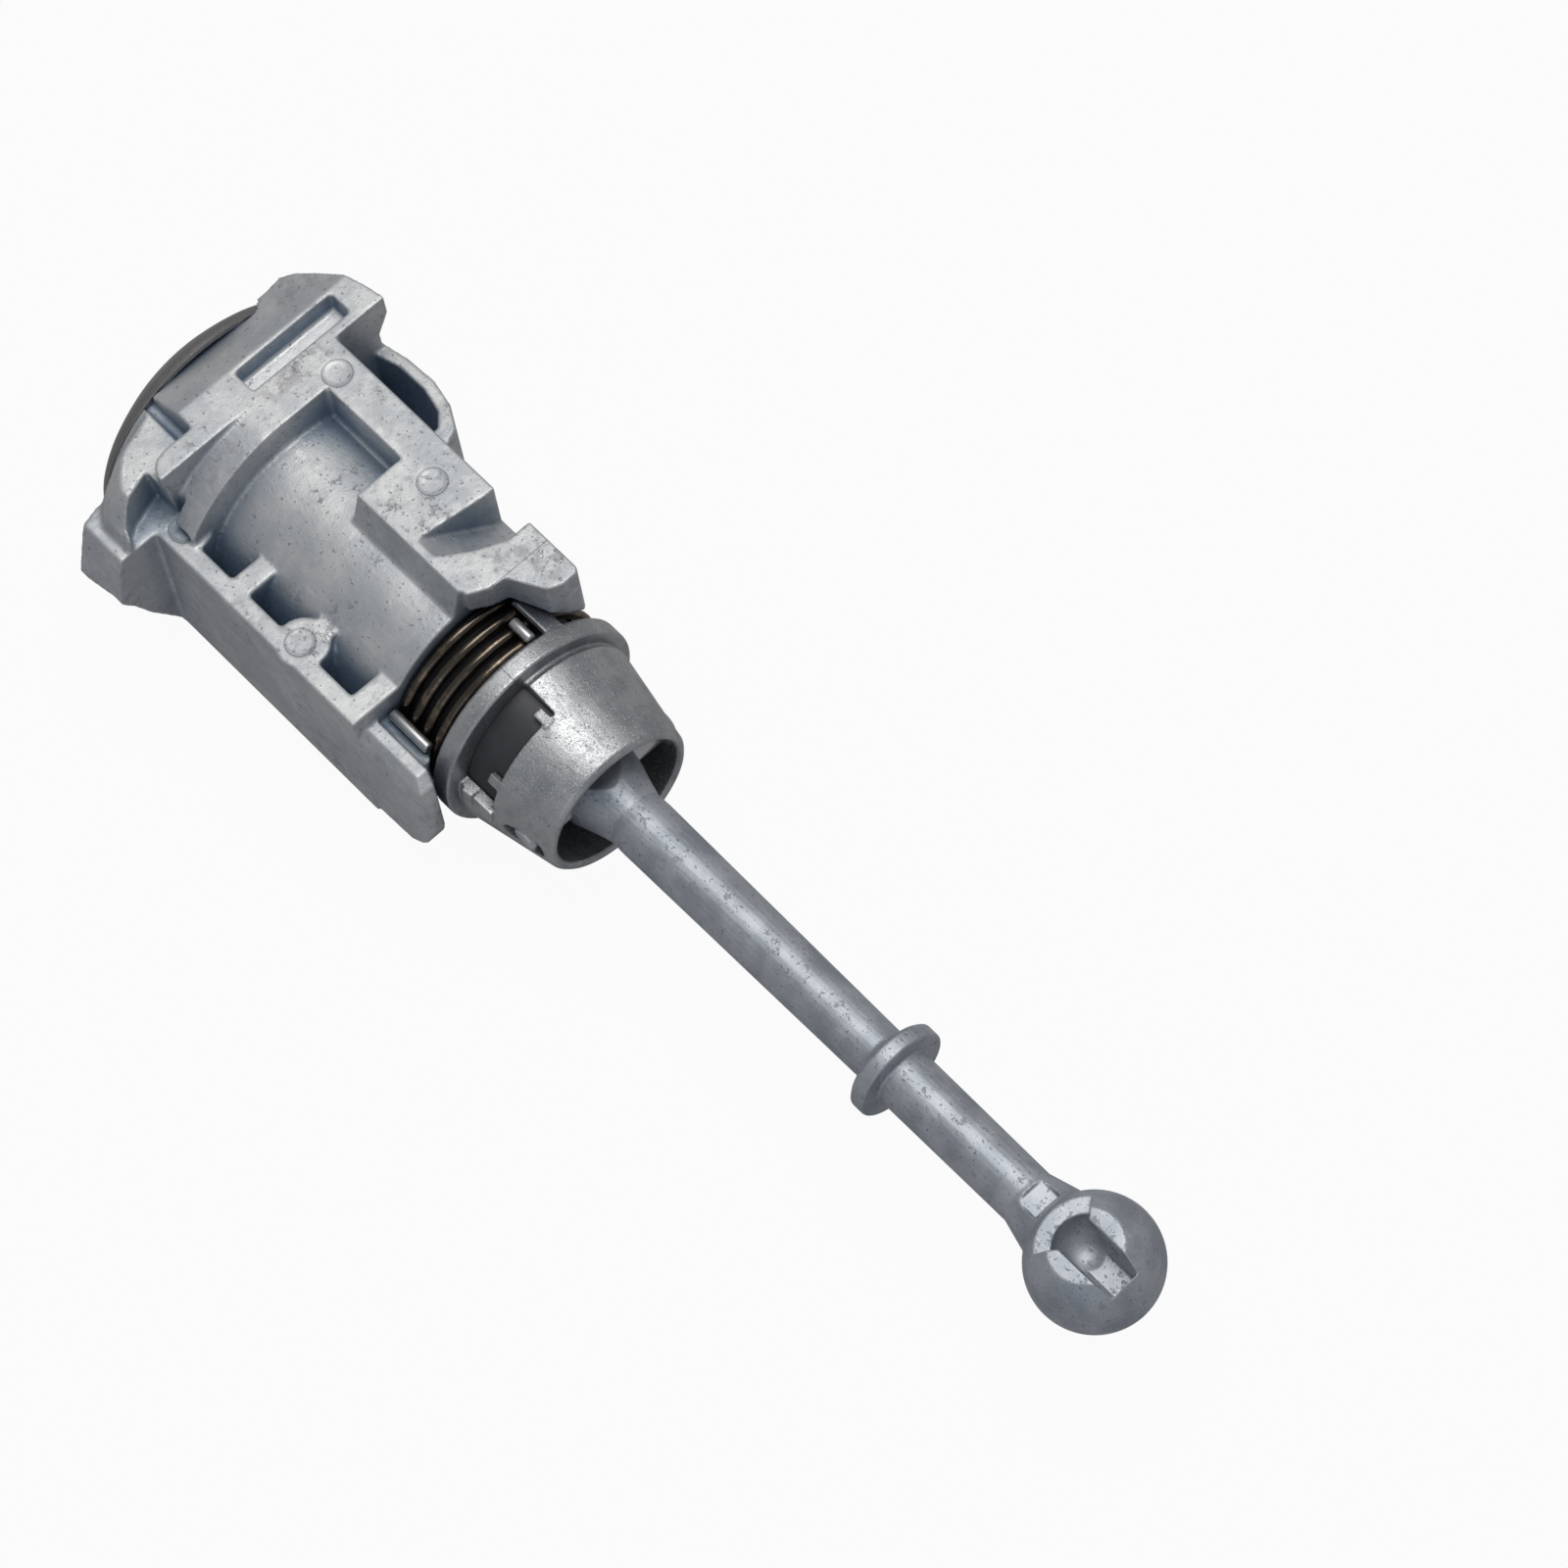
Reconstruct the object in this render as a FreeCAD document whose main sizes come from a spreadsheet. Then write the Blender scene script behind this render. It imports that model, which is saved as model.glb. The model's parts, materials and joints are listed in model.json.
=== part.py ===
"""Car door lock cylinder with its coupling cup and tail rod.

The X axis runs along the barrel, from the face of the lock to the ball at the end of the rod.
X = 0 is the face, Z is up out of the open side of the casting. All sizes are in millimetres.
"""
import FreeCAD, Part
import os
import re

import Sketcher

V = FreeCAD.Vector
doc = FreeCAD.newDocument("door_lock_cylinder")

# Driving dimensions
SIZES = {
    # housing: stations along the barrel
    "head_front": 5.6,
    "flange_front": 10.3,
    "flange_rear": 15.2,
    "collar_rear": 19.2,
    "pad_front": 31.0,
    "body_rear": 47.0,
    "finger_foot": -9.8,
    "finger_top": 6.0,
    "finger_tip": 57.0,
    "finger_rear": 54.0,
    # housing: heights and widths
    "high_deck": 17.0,
    "low_deck": 8.5,
    "underside": -16.5,
    "pocket_floor": -8.0,
    "left_face": -16.0,
    "right_face": 10.7,
    "right_inner": 6.1,
    "step_lean": 1.3,
    "wall": 2.3,
    "barrel_rad": 12.85,
    "bore_rad": 11.0,
    "collar_rad": 17.0,
    "rib_width": 2.8,
    "rib_one_mid": 26.3,
    "rib_two_mid": 36.2,
    "rib_three_mid": 45.6,
    "boss_rad": 3.0,
    "boss_mid": 35.9,
    "hook_front": 12.4,
    "hook_rear": 19.9,
    "hook_depth": 2.6,
    "ear_rear": 29.0,
    "ear_reach": 17.0,
    "ear_foot": -3.0,
    "ear_wall": 1.5,
    # flange
    "lobe_tip": -23.2,
    "flare_rad": 22.3,
    "flange_right": 17.5,
    "slot_length": 13.4,
    "slot_width": 3.0,
    "slot_depth": 2.8,
    "slot_start": 0.3,
    "slot_lip": 0.6,
    "left_pad_height": 14.0,
    "left_pad_edge": -8.4,
    "tongue_end": -13.5,
    "pad_groove": 1.2,
    "mark_rad": 1.6,
    "mark_depth": 0.15,
    "head_slope": 27.0,
    # scoop in the high deck
    "scoop_front": 39.4,
    "scoop_rear": 45.0,
    "scoop_tilt": 38.0,
    # face cap
    "cap_rad": 16.2,
    "cap_wall": 0.8,
    "cap_hole_rad": 6.7,
    "cap_face_rad": 8.0,
    # core
    "running": 0.05,
    "core_front": 5.6,
    "sleeve_wall": 2.3,
    "sleeve_rear": 45.0,
    "nose_rad": 6.4,
    "nose_front": 0.6,
    "tail_rad": 4.2,
    "tail_rear": 51.4,
    "tang_thick": 3.2,
    "keyway_width": 3.0,
    "keyway_top": 3.0,
    "keyway_foot": -4.7,
    "clip_thick": 1.0,
    "clip_rad": 7.0,
    # shutter
    "shutter_room": 5.4,
    "shutter_width": 4.8,
    "shutter_thick": 0.8,
    "shutter_height": 8.4,
    "shutter_pin_rad": 0.5,
    "shutter_pivot_up": 4.0,
    "shutter_pivot_in": 2.9,
    "plate_thick": 0.9,
    "plate_rad": 5.9,
    # wafers
    "wafer_first": 15.0,
    "wafer_pitch": 4.4,
    "wafer_thick": 1.1,
    "wafer_half": 3.6,
    "wafer_rise": 0.8,
    "wafer_foot": 6.8,
    "wafer_window": 1.8,
    "wafer_ear": 2.0,
    "wafer_spring_rad": 0.75,
    "wafer_spring_wire": 0.16,
    "wafer_spring_base": -5.4,
    "wafer_ear_foot": 0.2,
    # clutch and springs
    "clutch_rad": 8.0,
    "clutch_front": 48.6,
    "clutch_thick": 5.4,
    "clutch_travel": 1.8,
    "clutch_dog": 10.0,
    "clutch_spring_rad": 6.2,
    "clutch_wire": 0.8,
    "return_wire": 1.25,
    "return_rad": 11.3,
    "return_pitch": 1.9,
    "return_leg_angle": 16.0,
    "return_rest_angle": -62.0,
    # spring sleeve
    "guide_rad": 9.9,
    "guide_wall": 1.3,
    "guide_rear": 61.9,
    "web_front": 58.5,
    "web_thick": 1.8,
    # coupling cup
    "ring_rad": 12.8,
    "ring_front": 54.4,
    "ring_width": 2.45,
    "cone_big_rad": 11.6,
    "cone_small_rad": 9.4,
    "cup_mouth": 69.4,
    "cup_wall": 1.1,
    "window_front": 56.85,
    "window_rear": 61.7,
    "lug_front": 49.2,
    "lug_width": 2.4,
    "ring_lug_angle": 27.0,
    "housing_lug_angle": -74.0,
    "tooth_one_angle": -9.3,
    "tooth_two_angle": -57.6,
    "cup_block_angle": -81.0,
    # cross pin and rod
    "pin_rad": 1.5,
    "pin_length": 20.0,
    "pin_mid": 65.6,
    "pin_slot_reach": 1.1,
    "root_width": 9.0,
    "root_rad": 4.1,
    "rod_root_rad": 3.5,
    "rod_neck_rad": 3.15,
    "rod_tail_rad": 3.35,
    "collar_mid": 111.5,
    "rod_collar_rad": 5.55,
    "rod_collar_width": 2.2,
    "ball_mid": 141.0,
    "ball_rad": 7.3,
    "ball_bore_rad": 3.45,
    "ball_ledge": 4.75,
    "ball_land": 6.1,
    "ball_turn": -9.0,
    "ball_slot": 2.8,
}

sheet = doc.addObject("Spreadsheet::Sheet", "Sizes")
for row, (alias, value) in enumerate(SIZES.items(), start=1):
    sheet.set("A%d" % row, alias)
    sheet.set("B%d" % row, str(value))
    sheet.setAlias("B%d" % row, alias)
doc.recompute()

WAFER_COUNT = 6
MADE = []


def cell(text):
    """Put the sheet's name before each alias in an expression."""
    return re.sub(r"[a-z_]+", lambda word: "Sizes." + word[0] if word[0] in SIZES else word[0], text)


def bind(item, prop, text):
    item.setExpression(prop, cell(text))


def place(item, at):
    for letter, text in zip("xyz", at):
        if text != "0":
            bind(item, "Placement.Base." + letter, text)


def box(name, xs, ys, zs):
    """A block between two stations on each axis."""
    item = doc.addObject("Part::Box", name)
    bind(item, "Length", "( %s ) - ( %s )" % (xs[1], xs[0]))
    bind(item, "Width", "( %s ) - ( %s )" % (ys[1], ys[0]))
    bind(item, "Height", "( %s ) - ( %s )" % (zs[1], zs[0]))
    place(item, (xs[0], ys[0], zs[0]))
    return item


TURNS = {
    "x": FreeCAD.Rotation(V(0, 1, 0), 90),
    "y": FreeCAD.Rotation(V(1, 0, 0), -90),
    "z": FreeCAD.Rotation(),
}


def rod(name, axis, radius, start, end, across=("0", "0")):
    """A cylinder along one axis, between two stations."""
    item = doc.addObject("Part::Cylinder", name)
    bind(item, "Radius", radius)
    bind(item, "Height", "( %s ) - ( %s )" % (end, start))
    item.Placement = FreeCAD.Placement(V(), TURNS[axis])
    at = {
        "x": (start, across[0], across[1]),
        "y": (across[0], start, across[1]),
        "z": (across[0], across[1], start),
    }[axis]
    place(item, at)
    return item


def fuse(name, items):
    item = doc.addObject("Part::MultiFuse", name)
    item.Shapes = items
    item.Refine = True
    return item


def cut(name, base, tool):
    item = doc.addObject("Part::Cut", name)
    item.Base = base
    item.Tool = tool
    return item


def common(name, items):
    item = doc.addObject("Part::MultiCommon", name)
    item.Shapes = items
    return item


def turned(item, angle):
    """Turn a finished item about the barrel's axis, by an angle in degrees from +Z toward +Y."""
    group = doc.addObject("Part::Compound", item.Name + "_turned")
    group.Links = [item]
    group.Placement = FreeCAD.Placement(V(), FreeCAD.Rotation(V(-1, 0, 0), 30))
    bind(group, "Placement.Rotation.Angle", angle)
    return group


def origin_plane(body, role):
    for feature in body.Origin.OriginFeatures:
        if feature.Role == role:
            return feature
    raise ValueError(role)


def outline(body, name, role, points, offset="0"):
    """A closed outline whose corners are tied to the sheet."""
    sketch = body.newObject("Sketcher::SketchObject", name)
    sketch.AttachmentSupport = [(origin_plane(body, role), "")]
    sketch.MapMode = "FlatFace"
    if offset != "0":
        bind(sketch, "AttachmentOffset.Base.z", offset)
    spots = [V(evaluate(u), evaluate(v), 0) for u, v in points]
    count = len(spots)
    for index in range(count):
        sketch.addGeometry(Part.LineSegment(spots[index], spots[(index + 1) % count]), False)
    for index in range(count):
        sketch.addConstraint(Sketcher.Constraint("Coincident", index, 2, (index + 1) % count, 1))
    for index, (u, v) in enumerate(points):
        for kind, text, value in (("DistanceX", u, spots[index].x), ("DistanceY", v, spots[index].y)):
            number = sketch.addConstraint(Sketcher.Constraint(kind, -1, 1, index, 1, value))
            bind(sketch, "Constraints[%d]" % number, text)
    return sketch


def evaluate(text):
    """The starting value of an expression, which the sheet takes over at the next recompute."""
    return float(sheet.evalExpression(cell(text).replace("Sizes.", "")))


def padded(name, role, points, start, end):
    """An outline raised from one station to another along its plane's normal."""
    body = doc.addObject("PartDesign::Body", name)
    sketch = outline(body, name + "_outline", role, points, start)
    pad = body.newObject("PartDesign::Pad", name + "_pad")
    pad.Profile = sketch
    bind(pad, "Length", "( %s ) - ( %s )" % (end, start))
    return body


def revolved(name, points):
    """A half section in the XY plane turned about the barrel's axis."""
    body = doc.addObject("PartDesign::Body", name)
    sketch = outline(body, name + "_section", "XY_Plane", points)
    turn = body.newObject("PartDesign::Revolution", name + "_turn")
    turn.Profile = sketch
    turn.ReferenceAxis = (sketch, ["H_Axis"])
    turn.Angle = 360
    return body


def coil(name, radius, wire, pitch, height, at, axis, corners):
    """A round wire wound into a helix that starts at a station."""
    helix = doc.addObject("Part::Helix", name + "_helix")
    bind(helix, "Radius", radius)
    bind(helix, "Pitch", pitch)
    bind(helix, "Height", height)
    section = doc.addObject("Part::RegularPolygon", name + "_wire")
    section.Polygon = corners
    bind(section, "Circumradius", wire)
    section.Placement = FreeCAD.Placement(V(), FreeCAD.Rotation(V(1, 0, 0), 90))
    bind(section, "Placement.Base.x", radius)
    sweep = doc.addObject("Part::Sweep", name + "_sweep")
    sweep.Sections = [section]
    sweep.Spine = helix
    sweep.Solid = True
    sweep.Frenet = True
    sweep.Placement = FreeCAD.Placement(V(), TURNS[axis])
    place(sweep, at)
    return sweep


def keep(label, item):
    """Name a finished piece."""
    item.Label = label
    MADE.append(item)
    return item


# The flange and head, seen from the front, with the lobe to the left
FLANGE_OUTLINE = [
    ("tongue_end", "high_deck"),
    ("flange_right", "high_deck"),
    ("flange_right", "high_deck - 3"),
    ("flange_right - 1.6", "high_deck - 6"),
    ("flange_right - 1.6", "0"),
    ("flange_right - 4.5", "underside * 0.7"),
    ("flange_right - 9", "underside"),
    ("left_face + 3.5", "underside"),
    ("left_face", "underside + 5"),
    ("left_face - 0.3", "underside + 6"),
    ("lobe_tip + 5.6", "low_deck - 16.7"),
    ("lobe_tip + 3.8", "low_deck - 13.6"),
    ("lobe_tip + 2.2", "low_deck - 10"),
    ("lobe_tip + 0.7", "low_deck - 7.6"),
    ("lobe_tip", "low_deck - 6.2"),
    ("lobe_tip + 2.4", "low_deck"),
    ("lobe_tip + 3.7", "low_deck"),
    ("lobe_tip + 4", "low_deck + 2"),
    ("lobe_tip + 6.6", "high_deck - 3"),
    ("tongue_end", "high_deck - 2.5"),
]

# The head's outside, which flares from the cap's rim to the flange
HEAD_FLARE = [
    ("head_front - 1", "cap_rad"),
    ("flange_front - 4.3", "cap_rad"),
    ("flange_front - 3.7", "cap_rad + 0.4"),
    ("flange_front - 3.1", "flare_rad - 4.7"),
    ("flange_front - 2.5", "flare_rad - 3.4"),
    ("flange_front - 1.9", "flare_rad - 2.6"),
    ("flange_front - 0.3", "flare_rad - 1.4"),
    ("flange_front + 1", "flare_rad - 0.7"),
    ("flange_front + 2.5", "flare_rad - 0.1"),
    ("flange_rear", "flare_rad"),
]


def make_head():
    """The flange, its slot, its stepped left side and the flared front."""
    flare = revolved(
        "head_flare",
        [("head_front - 1", "0")] + HEAD_FLARE + [("flange_rear", "0")],
    )
    lobe = padded(
        "left_lobe",
        "XY_Plane",
        [
            ("flange_front - 2", "lobe_tip + 4.6"),
            ("flange_front - 1.2", "lobe_tip + 1.4"),
            ("flange_front - 0.7", "lobe_tip"),
            ("flange_front + 0.6", "lobe_tip"),
            ("flange_rear", "lobe_tip + 1.5"),
            ("flange_rear", "left_face"),
            ("flange_front - 2", "left_face"),
        ],
        "low_deck - 18",
        "low_deck",
    )
    right = padded(
        "right_lobe",
        "XY_Plane",
        [
            ("head_front - 0.6", "0"),
            ("head_front - 0.6", "3"),
            ("flange_front - 6", "6.5"),
            ("flange_front - 6.2", "9.5"),
            ("flange_front - 6.6", "flange_right - 5.4"),
            ("flange_front - 5.6", "flange_right - 4"),
            ("flange_front - 3.6", "flange_right - 2.8"),
            ("flange_front - 0.4", "flange_right - 1.2"),
            ("flange_front + 2.6", "flange_right - 0.4"),
            ("flange_rear", "flange_right"),
            ("flange_rear", "0"),
        ],
        "0",
        "high_deck",
    )
    plate = padded("flange_plate", "YZ_Plane", FLANGE_OUTLINE, "head_front - 2", "flange_rear")
    tongue = padded(
        "tongue",
        "YZ_Plane",
        [
            ("tongue_end", "high_deck"),
            ("0", "high_deck"),
            ("0", "0"),
            ("left_face + 3", "0"),
            ("tongue_end + 0.9", "low_deck - 1"),
        ],
        "flange_front",
        "flange_rear",
    )
    limited = common("flange_limited", [fuse("flange_body", [flare, lobe, right]), plate])
    seat = rod("cap_seat", "x", "cap_rad + running", "-1", "head_front")
    block = fuse("flange_block", [cut("flange_seated", limited, seat), tongue])
    wedge = padded(
        "head_slope_wedge",
        "XZ_Plane",
        [
            ("head_front - 4", "high_deck - ( flange_front - head_front + 4 ) * tan(head_slope)"),
            ("flange_front", "high_deck"),
            ("flange_front", "high_deck + 5"),
            ("head_front - 4", "high_deck + 5"),
        ],
        "-30",
        "30",
    )
    facet = padded(
        "right_facet",
        "XY_Plane",
        [
            ("flange_front - 7.4", "8.1"),
            ("flange_front - 6.1", "8.1"),
            ("flange_front - 4", "9.8"),
            ("flange_front - 4.9", "flange_right - 3.4"),
            ("flange_front - 7.4", "flange_right - 3.4"),
        ],
        "high_deck - 1.5",
        "high_deck + 5",
    )
    edge = [
        ("flange_front + 2.3", "left_pad_edge"),
        ("flange_front + 2.3", "left_pad_edge - 2.2"),
        ("flange_front + 2.6", "tongue_end + 1.3"),
        ("flange_front + 3.3", "tongue_end + 0.5"),
        ("flange_front + 4.2", "tongue_end"),
    ]
    step = padded(
        "left_pad_step",
        "XY_Plane",
        edge + [("flange_rear + 1", "tongue_end"), ("flange_rear + 1", "-30"), ("head_front - 2", "-30"),
                ("head_front - 2", "left_pad_edge")],
        "left_pad_height",
        "high_deck + 5",
    )
    shelf = padded(
        "left_shelf",
        "XY_Plane",
        [
            ("flange_front + 1.2", "tongue_end + 1.6"),
            ("flange_front + 1.6", "tongue_end - 0.3"),
            ("flange_front + 2.2", "left_face + 0.3"),
            ("flange_front + 2.6", "left_face - 1"),
            ("flange_front + 3.6", "left_face - 2.4"),
            ("flange_rear + 1", "lobe_tip + 3.7"),
            ("flange_rear + 1", "tongue_end + 1.6"),
        ],
        "low_deck",
        "left_pad_height + 1",
    )
    shelf = cut("left_shelf_cut", shelf, tongue)
    notch = box("pad_notch", ("head_front - 2", "flange_front + 2.3"),
                ("left_pad_edge", "left_pad_edge + pad_groove"), ("left_pad_height - 0.8", "high_deck + 5"))
    slot = box(
        "flange_slot",
        ("flange_front + slot_lip", "flange_front + slot_lip + slot_width"),
        ("slot_start", "slot_start + slot_length"),
        ("high_deck - slot_depth", "high_deck + 1"),
    )
    return block, [wedge, facet, step, shelf, notch, slot]


MARKS = [
    ("collar_rear - 0.6", "right_inner + 1.9", "high_deck"),
    ("scoop_front - 4", "right_inner + 0.5", "high_deck"),
    ("hook_front + 4.5", "left_face + 2.5", "low_deck"),
    ("boss_mid - 0.2", "left_face + 2.5", "low_deck"),
]


def make_housing():
    block, head_cuts = make_head()
    barrel = rod("barrel", "x", "barrel_rad", "flange_rear - 1", "body_rear")
    collar_disc = rod("collar_disc", "x", "collar_rad", "flange_rear - 1", "collar_rear")
    collar_limit = box("collar_limit", ("flange_rear - 2", "collar_rear + 1"),
                       ("left_face + 2", "right_face"), ("0", "high_deck"))
    collar = common("collar", [collar_disc, collar_limit])
    front_bar = box("front_bar", ("flange_rear - 1", "collar_rear"), ("0", "right_face"), ("0", "high_deck"))
    side_bar = box("side_bar", ("collar_rear - 1", "pad_front + 1"), ("right_inner", "right_face"),
                   ("0", "high_deck"))
    rear_pad = padded(
        "rear_pad",
        "YZ_Plane",
        [
            ("0", "high_deck"),
            ("- step_lean", "barrel_rad"),
            ("- step_lean", "0"),
            ("right_face", "0"),
            ("right_face", "high_deck"),
        ],
        "pad_front",
        "body_rear",
    )
    right_finger = padded(
        "right_finger",
        "XY_Plane",
        [
            ("body_rear - 1", "0.3"),
            ("body_rear + 0.8", "0.3"),
            ("body_rear + 2", "2.6"),
            ("body_rear + 2.2", "4.5"),
            ("finger_rear - 0.7", "right_face - 4"),
            ("finger_rear", "right_face - 2.4"),
            ("finger_rear", "right_face - 0.5"),
            ("finger_rear - 0.6", "right_face"),
            ("body_rear - 1", "right_face"),
        ],
        "2",
        "high_deck",
    )
    left_wall = box("left_wall", ("flange_front + 0.6", "body_rear"), ("left_face", "left_face + wall"),
                    ("underside + 5", "low_deck"))
    front_shelf = box("front_shelf", ("flange_front + 0.6", "hook_front + 5"),
                      ("left_face", "tongue_end + 1.2"), ("pocket_floor - 1", "low_deck"))
    base = padded(
        "base",
        "YZ_Plane",
        [
            ("left_face", "pocket_floor"),
            ("left_face", "underside + 5"),
            ("left_face + 3.5", "underside"),
            ("right_face - 2", "underside"),
            ("right_face + 2", "underside + 5"),
            ("right_face + 2", "0"),
            ("0", "0"),
        ],
        "flange_rear - 1",
        "body_rear",
    )
    finger_plan = padded(
        "finger_plan",
        "XY_Plane",
        [
            ("body_rear - 1", "left_face"),
            ("finger_tip - 2.6", "left_face"),
            ("finger_tip - 0.7", "left_face + 0.5"),
            ("finger_tip", "left_face + 1.3"),
            ("finger_tip", "left_face + 2.2"),
            ("finger_tip - 2", "left_face + 2.9"),
            ("body_rear - 1", "left_face + 2.9"),
        ],
        "underside",
        "low_deck",
    )
    finger_side = padded(
        "finger_side",
        "XZ_Plane",
        [
            ("body_rear - 1", "finger_foot - 0.8"),
            ("finger_tip - 4", "finger_foot"),
            ("finger_tip - 1.6", "finger_foot + 2.2"),
            ("finger_tip - 0.3", "finger_foot + 6"),
            ("finger_tip + 0.1", "finger_top - 3"),
            ("finger_tip - 0.5", "finger_top - 1"),
            ("finger_tip - 2", "finger_top"),
            ("body_rear - 1", "finger_top"),
        ],
        "- left_face - 6",
        "- left_face + 1",
    )
    finger_end = padded(
        "finger_end",
        "YZ_Plane",
        [
            ("left_face", "underside"),
            ("left_face", "finger_top - 2.8"),
            ("left_face + 0.5", "finger_top - 1.2"),
            ("left_face + 1.4", "finger_top"),
            ("left_face + 3", "finger_top"),
            ("left_face + 3", "underside"),
        ],
        "body_rear - 1",
        "finger_tip + 1",
    )
    left_finger = common("left_finger", [finger_plan, finger_side, finger_end])
    cheek = padded(
        "cheek",
        "XZ_Plane",
        [
            ("body_rear - 1", "-1"),
            ("finger_tip - 2", "-1"),
            ("finger_tip - 2", "2.6"),
            ("finger_tip - 2.8", "4.4"),
            ("finger_tip - 4.4", "5"),
            ("body_rear + 2.2", "5"),
            ("body_rear + 1.6", "3"),
            ("body_rear - 1", "3"),
        ],
        "- left_face - wall - 1.2",
        "- left_face - 1",
    )
    ribs = []
    for index, mid in enumerate(("rib_one_mid", "rib_two_mid", "rib_three_mid"), start=1):
        ribs.append(box("rib_%d" % index, (mid + " - rib_width / 2", mid + " + rib_width / 2"),
                        ("left_face + 1", "- 9"), ("pocket_floor - 1", "low_deck")))
    boss = rod("boss", "z", "boss_rad", "pocket_floor - 1", "low_deck", ("boss_mid", "left_face + wall + 0.4"))
    hook = padded(
        "hook",
        "XY_Plane",
        [
            ("hook_front", "left_face + 1"),
            ("hook_front", "left_face + wall + 1.4"),
            ("hook_front + 4.9", "left_face + wall + 1.5"),
            ("hook_rear - 1.9", "left_face + wall + hook_depth + 0.5"),
            ("hook_rear - 0.9", "left_face + wall + hook_depth"),
            ("hook_rear - 0.3", "left_face + wall + hook_depth - 1"),
            ("hook_rear", "left_face + wall + 0.4"),
            ("hook_rear - 1.2", "left_face + 1"),
        ],
        "pocket_floor - 1",
        "low_deck",
    )
    ear = padded(
        "ear",
        "XY_Plane",
        [
            ("flange_rear - 1", "right_face - 1"),
            ("flange_rear - 1", "ear_reach - 1"),
            ("flange_rear + 3", "ear_reach - 0.2"),
            ("flange_rear + 7", "ear_reach"),
            ("flange_rear + 10.4", "ear_reach - 0.7"),
            ("ear_rear - 0.8", "ear_reach - 2.2"),
            ("ear_rear", "ear_reach - 4"),
            ("ear_rear", "right_face - 1"),
        ],
        "ear_foot",
        "low_deck",
    )
    ear_pocket = padded(
        "ear_pocket",
        "XY_Plane",
        [
            ("flange_rear", "0"),
            ("flange_rear", "ear_reach - ear_wall - 1"),
            ("flange_rear + 3", "ear_reach - ear_wall - 0.1"),
            ("flange_rear + 7", "ear_reach - ear_wall"),
            ("flange_rear + 10", "ear_reach - ear_wall - 0.7"),
            ("ear_rear - 2.3", "ear_reach - ear_wall - 2"),
            ("ear_rear - 2.3", "ear_reach - ear_wall - 3.4"),
            ("ear_rear - 3.4", "0"),
        ],
        "ear_foot + 1.5",
        "low_deck + 1",
    )
    ear_shell = cut("ear_shell", ear, ear_pocket)
    scoop_plan = padded(
        "scoop_plan",
        "XY_Plane",
        [
            ("scoop_front", "0.7"),
            ("scoop_front + 2.4", "0.7"),
            ("scoop_rear - 0.5", "4.4"),
            ("scoop_rear + 0.6", "6.8"),
            ("scoop_rear + 1.9", "right_face - 1.2"),
            ("scoop_rear + 2.3", "right_face"),
            ("scoop_rear + 2.3", "right_face + 9"),
            ("scoop_front + 1.2", "right_face + 9"),
            ("scoop_front + 1.2", "right_face - 1"),
        ],
        "0",
        "high_deck + 4",
    )
    scoop = box("scoop", ("scoop_front - 1", "scoop_rear + 3"), ("0", "30"), ("0", "20"))
    scoop.Placement.Rotation = FreeCAD.Rotation(V(-1, 0, 0), 30)
    bind(scoop, "Placement.Rotation.Angle", "scoop_tilt")
    bind(scoop, "Placement.Base.y", "0.9")
    bind(scoop, "Placement.Base.z", "high_deck")
    scoop_cut = common("scoop_cut", [scoop, scoop_plan])
    marks = []
    for index, (x, y, deck) in enumerate(MARKS):
        marks.append(rod("mark_%d" % index, "z", "mark_rad", deck + " - mark_depth", deck + " + 1", (x, y)))
    lug = padded(
        "housing_lug",
        "XZ_Plane",
        [
            ("body_rear - 1", "return_rad + 0.9"),
            ("ring_front - 1.2", "return_rad + 0.9"),
            ("ring_front - 0.5", "return_rad + 1.4"),
            ("ring_front - 0.5", "barrel_rad + 0.9"),
            ("body_rear - 1", "barrel_rad + 0.9"),
        ],
        "- lug_width / 2",
        "lug_width / 2",
    )
    lug = turned(lug, "housing_lug_angle")
    boss_wide = rod("head_boss_wide", "x", "cap_rad - cap_wall - running", "head_front - 0.8", "head_front + 1")
    boss_narrow = rod("head_boss_narrow", "x", "cap_face_rad + 2", "cap_wall + 1.7", "head_front")
    solid = fuse("housing_solid", [block, boss_wide, boss_narrow, barrel, collar, front_bar, side_bar,
                                   rear_pad, left_wall, front_shelf, base, boss, hook,
                                   ear_shell] + ribs)
    deck_cuts = fuse("deck_cuts", head_cuts + [scoop_cut] + marks)
    decked = cut("housing_decked", solid, deck_cuts)
    # the room of the ring behind the barrel, with the fingers left outside it
    with_fingers = fuse("housing_with_fingers", [decked, right_finger, left_finger, cheek])
    ring_room = rod("ring_room", "x", "ring_rad + 0.5", "body_rear", "finger_tip + 1")
    roomed = cut("housing_roomed", with_fingers, ring_room)
    with_lug = fuse("housing_with_lug", [roomed, lug])
    hollow = fuse("housing_hollow", [
        rod("housing_bore", "x", "bore_rad", "core_front", "body_rear + 1"),
        rod("housing_mouth", "x", "nose_rad + running", "0", "core_front + 1"),
        rod("snap_ring_groove", "x", "bore_rad + 0.4", "sleeve_rear + 0.05", "sleeve_rear + 0.15 + clip_thick"),
    ])
    keep("lock_housing", cut("lock_housing_body", with_lug, hollow))


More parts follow.
